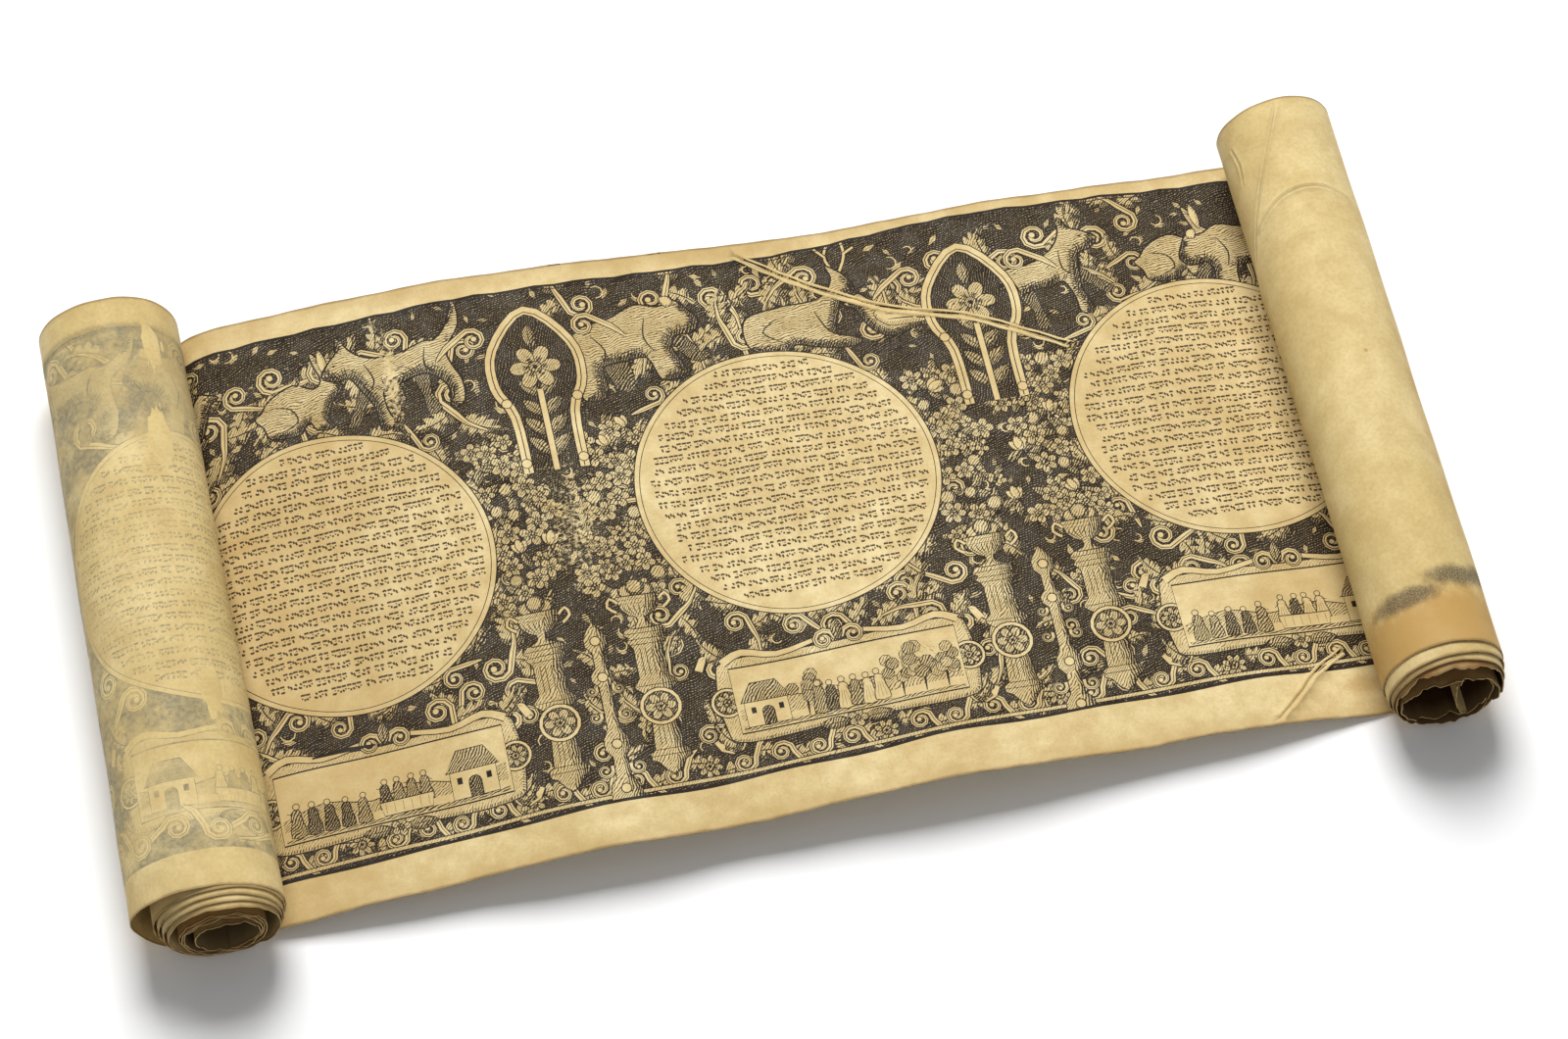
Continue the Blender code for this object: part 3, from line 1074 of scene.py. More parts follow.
def niche(pen):
    """A pointed arch in straps with a plant in it, one unit high."""
    arch = bent([-0.15 + 0j, -0.16 + 0.35j, -0.235 + 0.55j, -0.21 + 0.78j, 1.0j, 0.21 + 0.78j, 0.235 + 0.55j,
                 0.16 + 0.35j, 0.15 + 0j], 4)
    pen.area(arch, GROUND, 1.2)
    for height, size in ((0.10, 0.16), (0.22, 0.16), (0.34, 0.15), (0.46, 0.15)):
        for turn in (0.8, math.pi - 0.8):
            leaf(pen.moved(1j * height, size, turn), ribs=2)
    pen.strap([0.0j, 0.2j, 0.5j], np.full(3, 0.03))
    blossom(pen.moved(0.64j, 0.135), 6)
    leaf(pen.moved(0.76j, 0.15, math.pi / 2), ribs=1)
    pen.strap(arch, np.full(len(arch), 0.050))
    pen.stroke(arch * 0.985 + 0.004j, 0.3, taper=1.0)
    for side in (-1, 1):
        for stud in (0.152 + 0.06j, 0.19 + 0.44j):
            pen.figure(circle(0.026, 9, complex(side * stud.real, stud.imag)), BARE, 0.3)
        turn = 0.5 if side > 0 else math.pi - 0.5
        curl = pen.moved(complex(side * 0.30, 0.86), 0.075, turn, side < 0)
        volute(curl, 1.3, 0.4, [1.9 - 2.4j, 1.6 - 1.2j])


def person(pen, rng):
    """A tiny robed figure, one unit high, seen from afar."""
    lean = rng.uniform(-0.05, 0.05)
    robe = bent([complex(lean, 0.80), 0.12 + 0.72j, 0.14 + 0.45j, 0.22 + 0.02j, -0.20 + 0.02j, -0.13 + 0.45j,
                 -0.12 + 0.72j], 2, True)
    pen.figure(robe, rng.choice((BARE, HALF, DEEP)), 0.28)
    pen.figure(circle(0.085, 8, complex(lean, 0.90)), BARE, 0.24)
    for fold in (-0.08, 0.0, 0.09):
        pen.stroke([complex(fold * 0.6, 0.55), complex(fold * 1.4, 0.08)], 0.26)
    reach = rng.choice((-1, 1))
    pen.stroke([0.08 * reach + 0.70j, 0.24 * reach + rng.uniform(0.45, 0.8) * 1j], 0.55)
    pen.stroke([-0.08 * reach + 0.68j, -0.18 * reach + 0.45j], 0.5)


def house(pen):
    """A small house with a tiled roof, a door and two windows."""
    pen.figure([0, 0.9, 0.9 + 0.6j, 0.6j], BARE, 0.3)
    pen.figure([-0.08 + 0.58j, 0.98 + 0.58j, 0.72 + 1.0j, 0.2 + 1.0j], HALF, 0.3)
    for course in range(5):
        left, right, height = -0.02 + 0.07 * course, 0.92 - 0.07 * course, 0.62 + 0.08 * course
        pen.stroke([complex(left, height), complex(right, height)], 0.2)
    pen.figure(np.concatenate(([0.35, 0.58], arc(0.115, 0, math.pi, 6, 0.465 + 0.3j))), DEEP, 0.28)
    for window in (0.12, 0.70):
        pen.area([window + 0.3j, window + 0.1 + 0.3j, window + 0.1 + 0.44j, window + 0.44j], INK)


def tree(pen, rng):
    """A round tree of small clumps, one unit high."""
    pen.stroke([0, 0.02 + 0.3j, 0.5j], 0.8)
    for _ in range(9):
        spot = complex(rng.uniform(-0.28, 0.28), rng.uniform(0.4, 0.95))
        pen.figure(circle(0.13, 7, spot), rng.choice((LIGHT, HALF)), 0.22)
    for _ in range(14):
        spot = complex(rng.uniform(-0.3, 0.3), rng.uniform(0.4, 0.95))
        pen.stroke([spot, spot + 0.06 - 0.05j], 0.24)


def ground_strip(left, right, left_top, right_top):
    """A strip of ground from just over the foot of a long panel up to its own top."""
    return [complex(left, 0.4), complex(right, 0.4), complex(right, right_top), complex(left, left_top)]


def cartouche(pen, rng, scene):
    """A long panel in straps with curled corners, and a small scene of figures in it."""
    wide, high = PANEL_HALF_WIDE, PANEL_HALF_HIGH
    for x in (-1, 1):
        right = x > 0
        for y, size in ((-1, 6.0), (1, 7.0)):
            corner = complex(x * (wide + 4), y * (high + 1.5))
            volute(pen.moved(corner, size, 0.0 if right else math.pi, x * y < 0), 1.45, 0.42)
            spray = complex(x * (wide + 1), y * (high + 5))
            acanthus(pen.moved(spray, 12, 0.5 if right else math.pi - 0.5, x < 0), 4, 0.4)
    half_rim = [complex(wide + 5, -high + 3), complex(wide - 2, -high - 4), complex(0, -high - 3.2)]
    lower = [-corner.conjugate() for corner in half_rim] + half_rim[1::-1]
    rim = bent(lower + [corner.conjugate() for corner in lower[::-1]], 4, True)
    pen.figure(rim, FAINT, 0.4)
    edge_marks(pen, rim, 1.6, 1.1, 0.3)
    for x in (-1, 1):
        long_strap = bent([complex(x * 9, high + 6), complex(x * 24, high + 3.4),
                           complex(x * (wide - 6), high + 6.4), complex(x * (wide + 2), high + 3)], 3)
        pen.strap(long_strap, np.linspace(1.6, 3.2, len(long_strap)))
        stud = complex(x * (wide + 3), 0)
        pen.figure(circle(6.0, 18, stud), BARE, 0.36)
        pen.figure(circle(4.7, 16, stud), DEEP, 0.3)
        blossom(pen.moved(stud, 4.2), 8, 0.3)
        volute(pen.moved(complex(x * 5.6, high + 5.0), 4.6, 0.0 if x < 0 else math.pi, x > 0), 1.35, 0.42)
        leaf(pen.moved(complex(x * 3, -high - 3.6), 11, 0.0 if x > 0 else math.pi))
    blossom(pen.moved(complex(0, -high - 3.4), 3.6))
    leaf(pen.moved(complex(0, high + 4), 9, math.pi / 2))
    panel = [complex(-wide, -high), complex(wide, -high), complex(wide, high), complex(-wide, high)]
    pen.figure(panel, BARE, 0.5)
    scene(pen.moved(complex(0, -high)), rng, wide)


def village(pen, rng, wide):
    """A row of figures between a house and some trees."""
    pen.area(ground_strip(-wide + 1, wide - 1, 2.4, 1.6), HALF)
    hills(pen, wide)
    house(pen.moved(complex(-wide + 3, 2), 18))
    tree(pen.moved(complex(-wide + 26, 2), 19), rng)
    for step in range(6):
        person(pen.moved(complex(-12 + 4.6 * step, 2 + 0.5 * (step % 2)), rng.uniform(12.5, 14.5)), rng)
    for step in range(3):
        tree(pen.moved(complex(wide - 24 + 8.5 * step, 2), rng.uniform(15, 21)), rng)


def market(pen, rng, wide):
    """Figures on their way to a long table, and a house."""
    pen.area(ground_strip(-wide + 1, wide - 1, 1.5, 2.2), HALF)
    hills(pen, wide)
    for step in range(5):
        person(pen.moved(complex(-wide + 6 + 6.2 * step, 2), rng.uniform(11.5, 13.5)), rng)
    table_top = complex(-6, 7.5)
    for step in range(4):
        person(pen.moved(complex(-3.5 + 5.0 * step, 5), 12.0), rng)
    pen.figure([table_top, table_top + 20, table_top + 19 - 5.2j, table_top + 1 - 5.2j], BARE, 0.32)
    for fold in range(6):
        pen.stroke([table_top + 2 + 3.2 * fold - 0.6j, table_top + 2 + 3.2 * fold - 4.6j], 0.3)
    house(pen.moved(complex(wide - 22, 2), 19))


def hills(pen, wide):
    """Far hills with hatching under their brows."""
    ridge = bent([complex(-wide + 1, 9), complex(-wide * 0.6, 13), complex(-wide * 0.2, 9.5),
                  complex(wide * 0.2, 12.5), complex(wide * 0.6, 9), complex(wide - 1, 12)], 3)
    pen.area(np.concatenate((ridge, [complex(wide - 1, 5), complex(-wide + 1, 5)])), LIGHT, 0.7)
    pen.stroke(ridge, 0.35)


# The script, in millimetres: from row to row, a mark's half height, and the steps from mark to mark and
# from word to word
ROW_STEP = 4.9
MARK_SIZES = (1.2, 1.32)
MARK_STEPS = (1.75, 2.1)
WORD_GAPS = (0.8, 1.3)


def script(pen, radius, rng):
    """Rows of small marks, none of them a letter, that fill a round panel."""
    top = radius - ROW_STEP * 0.95
    for row in range(int(2 * top / ROW_STEP) + 1):
        height = top - row * ROW_STEP
        reach = math.sqrt(radius ** 2 - (abs(height) + 0.8) ** 2)
        place = reach - rng.uniform(2.2, 4.5)
        left = -reach + rng.uniform(1.6, 7.0)
        sag = rng.uniform(-0.25, 0.25)
        while place > left:
            for _ in range(rng.randint(2, 6)):
                waver = 0.14 * math.sin(place / 6 + row)
                spot = complex(place, height + waver + sag * place / reach)
                mark(pen.moved(spot, rng.uniform(*MARK_SIZES)), rng)
                place -= rng.uniform(*MARK_STEPS)
                if place < left:
                    break
            place -= rng.uniform(*WORD_GAPS)


# The script's marks, none of them a letter: whether a bar runs over the mark, and its other strokes
MARKS = (
    (True, (((-0.30 + 0.10j, -0.42 - 0.30j), 0.62), ((0.42 - 0.20j, 0.30 - 0.90j), 0.70))),
    (True, (((-0.62 - 0.80j, 0.0 - 0.95j, 0.60 - 0.72j), 0.72), ((0.28 + 0.30j, 0.42 + 0.02j), 0.62))),
    (False, (((-0.52 + 0.98j, -0.18 + 0.10j), 0.72), ((0.20 + 0.55j, 0.55 - 0.55j), 0.72))),
    (False, (((-0.55 + 0.80j, 0.10 + 1.05j, 0.60 + 0.75j), 0.72), ((-0.10 + 0.15j, 0.05 - 0.90j), 0.72))),
    (True, (((-0.50 - 0.10j, -0.10 - 0.86j), 0.72), ((0.36 + 0.22j, 0.48 - 0.25j), 0.62))),
    (False, (((0.05 + 1.0j, 0.50 + 0.30j), 0.72), ((-0.50 - 0.25j, -0.05 - 0.60j, 0.50 - 0.62j), 0.72))),
)


def mark(pen, rng):
    """One of the script's marks: loose dashes, bars, arcs and points that never join into a letter."""
    barred, strokes = MARKS[rng.randrange(len(MARKS))]
    if barred:
        strokes = (((-0.68 + 1.0j, 0.66 + rng.uniform(0.95, 1.1) * 1j), 0.80), *strokes)
    for points, width in strokes:
        pen.stroke(points, width, taper=0.8, sepia=1.0)


# The drawing's layout, in millimetres on the flat sheet
RING_RADIUS = 58.4
PANEL_HALF_WIDE = 43
PANEL_HALF_HIGH = 13.5
RINGS = (-160.5 + 9.5j, 12.5 + 15.0j, 183.5 + 17.0j)
DIVISIONS = (-73.0, 99.0)
SHEET_ENDS = (-232.0, 232.0)
GHOST_RING = -337.0 + 8.0j
GHOST_ENDS = (-420.0, -225.0)
SHEET_SPAN = 250.0

# Where the sheet has been creased: over the open part, and on the right roll's outer turn
CREASES = (
    (13.0 + 119.5j, 26.0 + 110.0j, 40.7 + 99.5j, 69.2 + 83.0j, 99.2 + 72.5j, 118.0 + 62.0j, 132.2 + 53.6j),
    (171.5 - 122.0j, 181.0 - 113.0j, 190.0 - 104.0j, 201.5 - 97.0j),
)
ROLL_CREASES = (
    (305.0 + 121.0j, 311.0 + 108.0j, 322.0 + 86.0j, 334.0 + 66.0j, 345.0 + 48.0j),
    (326.0 + 74.0j, 312.0 + 81.0j, 298.0 + 82.0j, 284.0 + 77.0j),
    (329.0 + 113.0j, 327.0 + 104.0j, 328.0 + 96.0j),
)

# The print's upper and lower edge: places along the sheet, and heights across it
TOP_LINE = ((-232.0, 113.5), (-90.0, 115.5), (20.0, 117.0), (90.0, 120.5), (160.0, 119.5), (232.0, 117.5))
BOTTOM_LINE = ((-232.0, -109.0), (-60.0, -107.5), (70.0, -105.5), (232.0, -103.0))


# The grid on which hidden shapes are found: cells in a millimetre, and its half width and half height
CELLS = 5
GRID_HALF = 280 + 150j


def seen(shapes, middle=0.0):
    """The shapes without those that later ones hide, for a drawing around its middle along the sheet."""
    size = (round(2 * GRID_HALF.imag * CELLS), round(2 * GRID_HALF.real * CELLS))
    covering = np.full(size, -1, dtype=np.int32)
    for index, shape in enumerate(shapes):
        outline = (shape.outline - middle + GRID_HALF) * CELLS
        left, right = int(outline.real.min()), int(outline.real.max()) + 2
        low, high = int(outline.imag.min()), int(outline.imag.max()) + 2
        xs, ys = np.arange(left, right) + 0.5, np.arange(low, high) + 0.5
        within = np.zeros((len(ys), len(xs)), dtype=bool)
        for a, b in zip(outline, np.roll(outline, -1)):
            spans = (a.imag > ys) != (b.imag > ys)
            if spans.any():
                cut = a.real + (ys[spans] - a.imag) * (b.real - a.real) / (b.imag - a.imag)
                within[spans] ^= xs[None, :] < cut[:, None]
        covering[low:high, left:right][within] = index
    kept = []
    for index, shape in enumerate(shapes):
        outline = (np.append(shape.outline, shape.outline.mean()) - middle + GRID_HALF) * CELLS
        over = covering[outline.imag.astype(int), outline.real.astype(int)]
        if (over <= index).any():
            kept.append(shape)
    return kept


def level(line, place):
    """Height of one of the print's edges at a place along the sheet."""
    return float(np.interp(place, *np.array(line).T))


def clear_of_rings(place, room):
    """Whether a place is farther than the room from every round panel."""
    return all(abs(place - ring) > RING_RADIUS + room for ring in RINGS)


def scattered(rng, count, box, room, keep):
    """Places at random in a box, no nearer each other than the room, where keep says yes."""
    found = []
    for _ in range(count * 30):
        place = complex(rng.uniform(box[0], box[1]), rng.uniform(box[2], box[3]))
        if keep(place) and all(abs(place - other) > room for other in found):
            found.append(place)
        if len(found) == count:
            break
    return sorted(found, key=lambda place: -place.imag)


def etching():
    """The whole border and its round panels, as shapes in the order in which they cover each other."""
    rng = random.Random(11)
    shapes = []
    pen = Pen(shapes)
    xs = np.linspace(SHEET_ENDS[0], SHEET_ENDS[1], 60)
    top = [complex(x, level(TOP_LINE, x) + 0.4 * math.sin(x * 1.3)) for x in xs]
    bottom = [complex(x, level(BOTTOM_LINE, x) + 0.5 * math.sin(x * 0.9)) for x in xs]
    pen.area(bottom + top[::-1], GROUND)

    undergrowth(pen, rng)
    for ring in RINGS:
        wreath(pen.moved(ring), rng)
    spandrels(pen, rng)
    band_of_beasts(pen, rng)
    for middle in DIVISIONS:
        division(pen.moved(complex(middle, 0)), rng)
    lower_border(pen, rng)
    for ring, scene in zip(RINGS, (market, village, market)):
        cartouche(pen.moved(ring + 4 - 90j), rng, scene)
    for middle in DIVISIONS:
        posts(pen.moved(complex(middle, 0)))
    for ring in RINGS:
        round_panel(pen.moved(ring), rng)
    dark_dash = [-184 - 62.6j, -172 - 61.9j, -160 - 62.4j]
    pen.stroke(dark_dash, 1.5)
    shapes[:] = seen(shapes)
    margins(pen, top, bottom)
    for crease in CREASES:
        bared(pen, crease)
    return shapes


def ghost_print():
    """The part of the print that shows through the outer turn of the left roll."""
    rng = random.Random(5)
    shapes = []
    pen = Pen(shapes)
    xs = np.linspace(*GHOST_ENDS, 30)
    top = [complex(x, 111.5 + 0.4 * math.sin(x * 1.3)) for x in xs]
    bottom = [complex(x, -110.0 + 0.5 * math.sin(x * 0.9)) for x in xs]
    pen.area(bottom + top[::-1], GROUND)
    left, right = GHOST_ENDS

    def clear(place):
        return abs(place - GHOST_RING) > RING_RADIUS + 3

    for box, count, size in (((left, right, 66, 104), 20, 6.5), ((left, right, -102, 60), 20, 6.0)):
        for place in scattered(rng, count, box, 15.0, clear):
            here = pen.moved(place, size, rng.uniform(0, 2 * math.pi), rng.random() < 0.5)
            acanthus(here.moved(1.5 - 1.0j, 2.8, -1.2, True), 4, 0.35)
            volute(here, 1.5, 0.40, STEM)
    bear(pen.moved(-372 + 62j, 56, 0.06), rng)
    hound(pen.moved(-312 + 64j, 52, 0.1), rng)
    middle = GHOST_RING - 2 - 88j
    cartouche(pen.moved(middle), rng, market)
    place = left + 6
    while place < right:
        flip = round(place) % 2 == 0
        here = pen.moved(complex(place, -102 if flip else -100), 5.4, 0.3, flip)
        volute(here, 1.45, 0.42, SHORT_STEM)
        place += 15.0
    round_panel(pen.moved(GHOST_RING), rng)
    shapes[:] = seen(shapes, middle.real)
    margins(pen, top, bottom)
    return shapes


def line_and_side(crease, steps):
    """A smooth line along a crease, and the way to its left at each of its places."""
    line = bent(crease, steps)
    ahead = np.gradient(line)
    return line, 1j * ahead / np.abs(ahead)


def roll_marks():
    """The marks on the outer turn of the right roll: dark lines along its creases, darkest along the middle.
    """
    shapes = []
    pen = Pen(shapes)
    marks = ((-2.2, 0.3, BARE), (-1.2, 0.5, LIGHT), (0.0, 0.6, HALF), (1.2, 0.5, LIGHT), (2.2, 0.3, BARE))
    for crease in ROLL_CREASES:
        line, side = line_and_side(crease, 6)
        for offset, width, tone in marks:
            pen.stroke(line + side * offset, width, tone, 0.5)
    return shapes


def margins(pen, top, bottom):
    """Bare parchment above and below the print, with the plate's inked edges."""
    far, near = 0.5j * SHEET_SPAN - 0.6j, -0.5j * SHEET_SPAN + 0.6j
    pen.area(top + [top[-1].real + far, top[0].real + far], BARE)
    pen.area(bottom[::-1] + [bottom[0].real + near, bottom[-1].real + near], BARE)
    pen.stroke(top, 0.8, taper=1.0)
    pen.stroke([corner - 1.5j for corner in top], 0.34, taper=1.0)
    pen.stroke(bottom, 1.0, taper=1.0)


def bared(pen, crease):
    """Where a crease has shed its ink: two pale lines and rubbed print between them."""
    line, side = line_and_side(crease, 5)
    for offset, width in ((1.25, 0.75), (-1.25, 0.95), (0.1, 0.45)):
        waver = 0.18 * np.sin(np.arange(len(line)) * 1.7 + offset)
        pen.stroke(line + side * (offset + waver), width, BARE, 0.6)


def undergrowth(pen, rng):
    """Small leaves, blades and curls that show dimly in the dark ground."""
    places = scattered(rng, 620, (-230, 230, -104, 114), 5.2, lambda place: clear_of_rings(place, 1))
    for place in places:
        here = pen.moved(place, rng.uniform(3.2, 5.8), rng.uniform(0, 2 * math.pi))
        here.area([0, 0.4 + 0.22j, 1, 0.4 - 0.2j], rng.choice((FAINT, LIGHT, HALF)))
        here.stroke([0.1, 0.8], 0.34)
        if rng.random() < 0.3:
            here.stroke(arc(0.5, 0.3, 4.2, 6, 0.6 - 0.6j), 0.42, BARE, 0.6)


def scrollwork(pen, rng, box, count, sizes, room, keep=lambda place: True):
    """Curling stems with leaves that fill a part of the ground."""
    for place in scattered(rng, count, box, room, lambda spot: clear_of_rings(spot, 3) and keep(spot)):
        size = rng.uniform(*sizes)
        turn = rng.uniform(0, 2 * math.pi)
        flip = rng.random() < 0.5
        here = pen.moved(place, size, turn, flip)
        acanthus(here.moved(1.5 - 1.0j, 2.6, -1.2, True), 4, 0.35)
        acanthus(here.moved(1.2 - 0.2j, 2.2, 0.4), 3, 0.4)
        volute(here, 1.5, 0.36, STEM)


def band_of_beasts(pen, rng):
    """Beasts and birds over the round panels, among scrolls and leaves."""
    scrollwork(pen, rng, (-228, 228, 74, 110), 40, (4.6, 6.6), 14.5)
    bird(pen.moved(-226 + 68j, 34, 0.12), rng)
    hare(pen.moved(-180 + 71j, 34, 0.02), rng)
    hound(pen.moved(-101 + 70j, 50, math.pi + 0.12, True), rng)
    bear(pen.moved(-57 + 62j, 54, 0.16), rng)
    stag(pen.moved(9 + 73.5j, 44, -0.08), rng)
    bird(pen.moved(84 + 64j, 34, math.pi - 0.05, True), rng)
    hound(pen.moved(113 + 60j, 50, 0.24), rng)
    hare(pen.moved(168 + 77j, 33, 0.0), rng)
    bear(pen.moved(232 + 70j, 46, math.pi + 0.06, True), rng)


def spandrels(pen, rng):
    """Scrolls and leaves between the round panels, the posts and the long panels."""
    scrollwork(pen, rng, (-228, 228, -56, -28), 24, (4.8, 6.2), 12.5,
               lambda place: min(abs(place.real - middle) for middle in DIVISIONS) > 24)
    scrollwork(pen, rng, (-228, 228, -96, -56), 16, (4.0, 5.0), 12.0,
               lambda place: min(abs(place.real - middle) for middle in DIVISIONS) < 36)


def wreath(pen, rng):
    """Leaves and scrolls that spring from a round panel's rim."""
    sprays = 34
    for step in range(sprays):
        angle = 2 * math.pi * step / sprays + 0.1
        start = cmath.rect(RING_RADIUS - 1, angle)
        turn = angle + (1.0 if step % 2 else -1.0)
        if step % 4 == 0:
            curl = pen.moved(cmath.rect(RING_RADIUS + 5, angle), 4.6, angle + 2.2, step % 8 == 0)
            volute(curl, 1.35, 0.38, [2.0 - 1.8j, 1.5 - 0.9j])
        else:
            acanthus(pen.moved(start, rng.uniform(9, 14), turn, step % 2 == 0), 4, 0.35)


def round_panel(pen, rng):
    """A ring of two lines with rows of script in it."""
    for extra, tone in ((0.45, INK), (0.0, BARE), (-1.75, INK), (-2.05, BARE)):
        pen.area(circle(RING_RADIUS + extra, 110), tone)
    script(pen, RING_RADIUS - 2.5, rng)


def division(pen, rng):
    """What fills the space between two round panels, over the posts."""
    for box, count in (((-33, -11, -24, 50), 26), ((11, 33, -24, 50), 26), ((-11, 11, -26, 34), 10)):
        places = scattered(rng, count, box, 6.0, lambda place: clear_of_rings(complex(pen.put(place)), 1.5))
        bouquet(pen, rng, places)
    niche(pen.moved(34j, 72))


def posts(pen):
    """Two turned posts with bowls on them, and strapwork between them."""
    for side in (-19.0, 19.0):
        baluster(pen.moved(complex(side, -100), 62))
        bowl(pen.moved(complex(side, -38), 17))
    pierced_post(pen.moved(-107j, 74))


def lower_border(pen, rng):
    """Running scrolls along the foot of the border, and its pale sill."""
    place = SHEET_ENDS[0] + 6
    step = 0
    while place < SHEET_ENDS[1]:
        base = level(BOTTOM_LINE, place)
        flip = step % 2 == 1
        here = pen.moved(complex(place, base + (6.6 if flip else 7.6)), 4.6, 0.3 if flip else -0.2, flip)
        acanthus(here.moved(1.2 - 0.4j, 2.4, 0.2), 3, 0.3)
        if step % 5 == 4:
            blossom(here.moved(0, 1.0), 8, 0.34)
        else:
            volute(here, 1.45, 0.40, SHORT_STEM)
        place += rng.uniform(11.5, 14.5)
        step += 1
    xs = np.linspace(SHEET_ENDS[0], SHEET_ENDS[1], 60)
    sill = [complex(x, level(BOTTOM_LINE, x) + 2.4) for x in xs]
    pen.strap(sill, np.full(len(sill), 1.3), FAINT)


class ScrollColours(bpy.types.PropertyGroup):
    """Colours of the parchment, its print and its script."""

    parchment: colour("Parchment", "Main colour of the written side", (0.68, 0.525, 0.250))
    pale: colour("Pale Parchment", "Palest patches of the written side", (0.82, 0.675, 0.360))
    ochre: colour("Ochre Parchment", "Darkest patches, and the margins", (0.47, 0.315, 0.115))
    back: colour("Back", "Main colour of the outer side of the rolls", (0.665, 0.51, 0.222))
    browned: colour("Browned Edge", "Handled and browned edges", (0.135, 0.067, 0.02))
    # Browning and painted shade on the back of the inner turns
    aged_and_shaded: colour("Aged Back", "Outer side of the inner turns", (0.28, 0.15, 0.046))
    # Painted shade: the written side deep in the rolls is darkened towards this deep brown
    shaded: colour("Deep Brown", "Written side deep in the rolls", (0.045, 0.02, 0.006))
    ink: colour("Printing Ink", "The etched border", (0.017, 0.010, 0.006))
    script_ink: colour("Script Ink", "The script", (0.042, 0.020, 0.008))
    rust: colour("Rust", "Rusty stains", (0.48, 0.28, 0.078))
    # Smudges and darker patches on the back
    soot_and_shade: colour("Soot", "Smudges on the back", (0.055, 0.05, 0.04))
    ghost: colour("Ghost", "The print where it shows through the back", (0.205, 0.188, 0.122))
    floor: colour("Floor", "The floor under the scroll", (0.95, 0.95, 0.95))


def put(tree, socket, value):
    """Link another node's output to a socket, or set the socket's own value."""
    if isinstance(value, bpy.types.NodeSocket):
        tree.links.new(value, socket)
    else:
        socket.default_value = value


def node(tree, kind, inputs, **settings):
    """A shader node with its settings; its inputs are values or other nodes' outputs."""
    made = tree.nodes.new("ShaderNode" + kind)
    for name, value in settings.items():
        setattr(made, name, value)
    for socket, value in inputs.items():
        put(tree, made.inputs[socket], value)
    return made


def maths(tree, operation, *values, clamp=False):
    """The result of an operation on values or other nodes' outputs."""
    return node(tree, "Math", dict(enumerate(values)), operation=operation, use_clamp=clamp).outputs[0]


def vector_maths(tree, operation, *values):
    """A node that works on vectors."""
    return node(tree, "VectorMath", dict(enumerate(values)), operation=operation)


def times(tree, first, second):
    """The product of two values."""
    return maths(tree, "MULTIPLY", first, second)


def plus(tree, first, second):
    """The sum of two values."""
    return maths(tree, "ADD", first, second)


def less(tree, first, second):
    """The first value less the second."""
    return maths(tree, "SUBTRACT", first, second)


def ramp(tree, value, low, high, bottom=0.0, top=1.0):
    """A smooth rise from bottom to top while the value goes from low to high."""
    ends = {"From Min": low, "From Max": high, "To Min": bottom, "To Max": top}
    made = node(tree, "MapRange", {"Value": value, **ends}, interpolation_type="SMOOTHSTEP")
    return made.outputs["Result"]


def mixed(tree, share, first, second):
    """A mix of two colours."""
    made = node(tree, "Mix", {}, data_type="RGBA", blend_type="MIX")
    put(tree, made.inputs[0], share)
    for socket, colour in ((made.inputs[6], first), (made.inputs[7], second)):
        put(tree, socket, colour if isinstance(colour, bpy.types.NodeSocket) else (*colour, 1.0))
    return made.outputs[2]


def noise(tree, place, scale, detail, rough):
    """Even noise between 0 and 1; its scale is in waves a millimetre."""
    made = node(tree, "TexNoise", {"Vector": place, "Scale": scale, "Detail": detail, "Roughness": rough})
    return made.outputs[0]


def swing(tree, place, scale, reach, detail=2.0, rough=0.5):
    """Noise around zero that spans the reach."""
    return times(tree, less(tree, noise(tree, place, scale, detail, rough), 0.5), reach)


def shader_group(name, inputs, outputs):
    """An empty node group, and the sockets at its two ends; inputs are named defaults."""
    group = bpy.data.node_groups.new(name, "ShaderNodeTree")
    for label, default in inputs.items():
        kind = "NodeSocketVector" if isinstance(default, tuple) else "NodeSocketFloat"
        socket = group.interface.new_socket(label, in_out="INPUT", socket_type=kind)
        socket.default_value = default
    for label in outputs:
        group.interface.new_socket(label, in_out="OUTPUT", socket_type="NodeSocketFloat")
    start, end = group.nodes.new("NodeGroupInput"), group.nodes.new("NodeGroupOutput")
    return group, start.outputs, end.inputs


def placed(tree, group, **inputs):
    """The outputs of a group's node in a material; an input's name has _ for a space."""
    made = tree.nodes.new("ShaderNodeGroup")
    made.node_tree = group
    for name, value in inputs.items():
        put(tree, made.inputs[name.replace("_", " ")], value)
    return made.outputs


ORIGIN = (0, 0, 0)


def parchment_grain():
    """Skin: broad clouds, mottling, fine specks, and the height of its fine relief."""
    group, start, end = shader_group("parchment_grain", {"Place": ORIGIN, "Coarseness": 1.0},
                                     ("Clouds", "Mottling", "Specks", "Relief"))
    scaled = vector_maths(group, "SCALE", start["Place"])
    put(group, scaled.inputs["Scale"], maths(group, "DIVIDE", 1.0, start["Coarseness"]))
    place = scaled.outputs[0]
    clouds = noise(group, place, 0.017, 3.0, 0.55)
    mottling = noise(group, place, 0.11, 4.0, 0.6)
    specks = noise(group, place, 0.9, 2.0, 0.6)
    fibres = noise(group, place, 2.6, 2.0, 0.7)
    put(group, end["Clouds"], ramp(group, clouds, 0.30, 0.70))
    put(group, end["Mottling"], ramp(group, mottling, 0.30, 0.70))
    put(group, end["Specks"], ramp(group, specks, 0.35, 0.75))
    put(group, end["Relief"], maths(group, "MULTIPLY_ADD", mottling, 2.0, times(group, fibres, 0.35)))
    return group


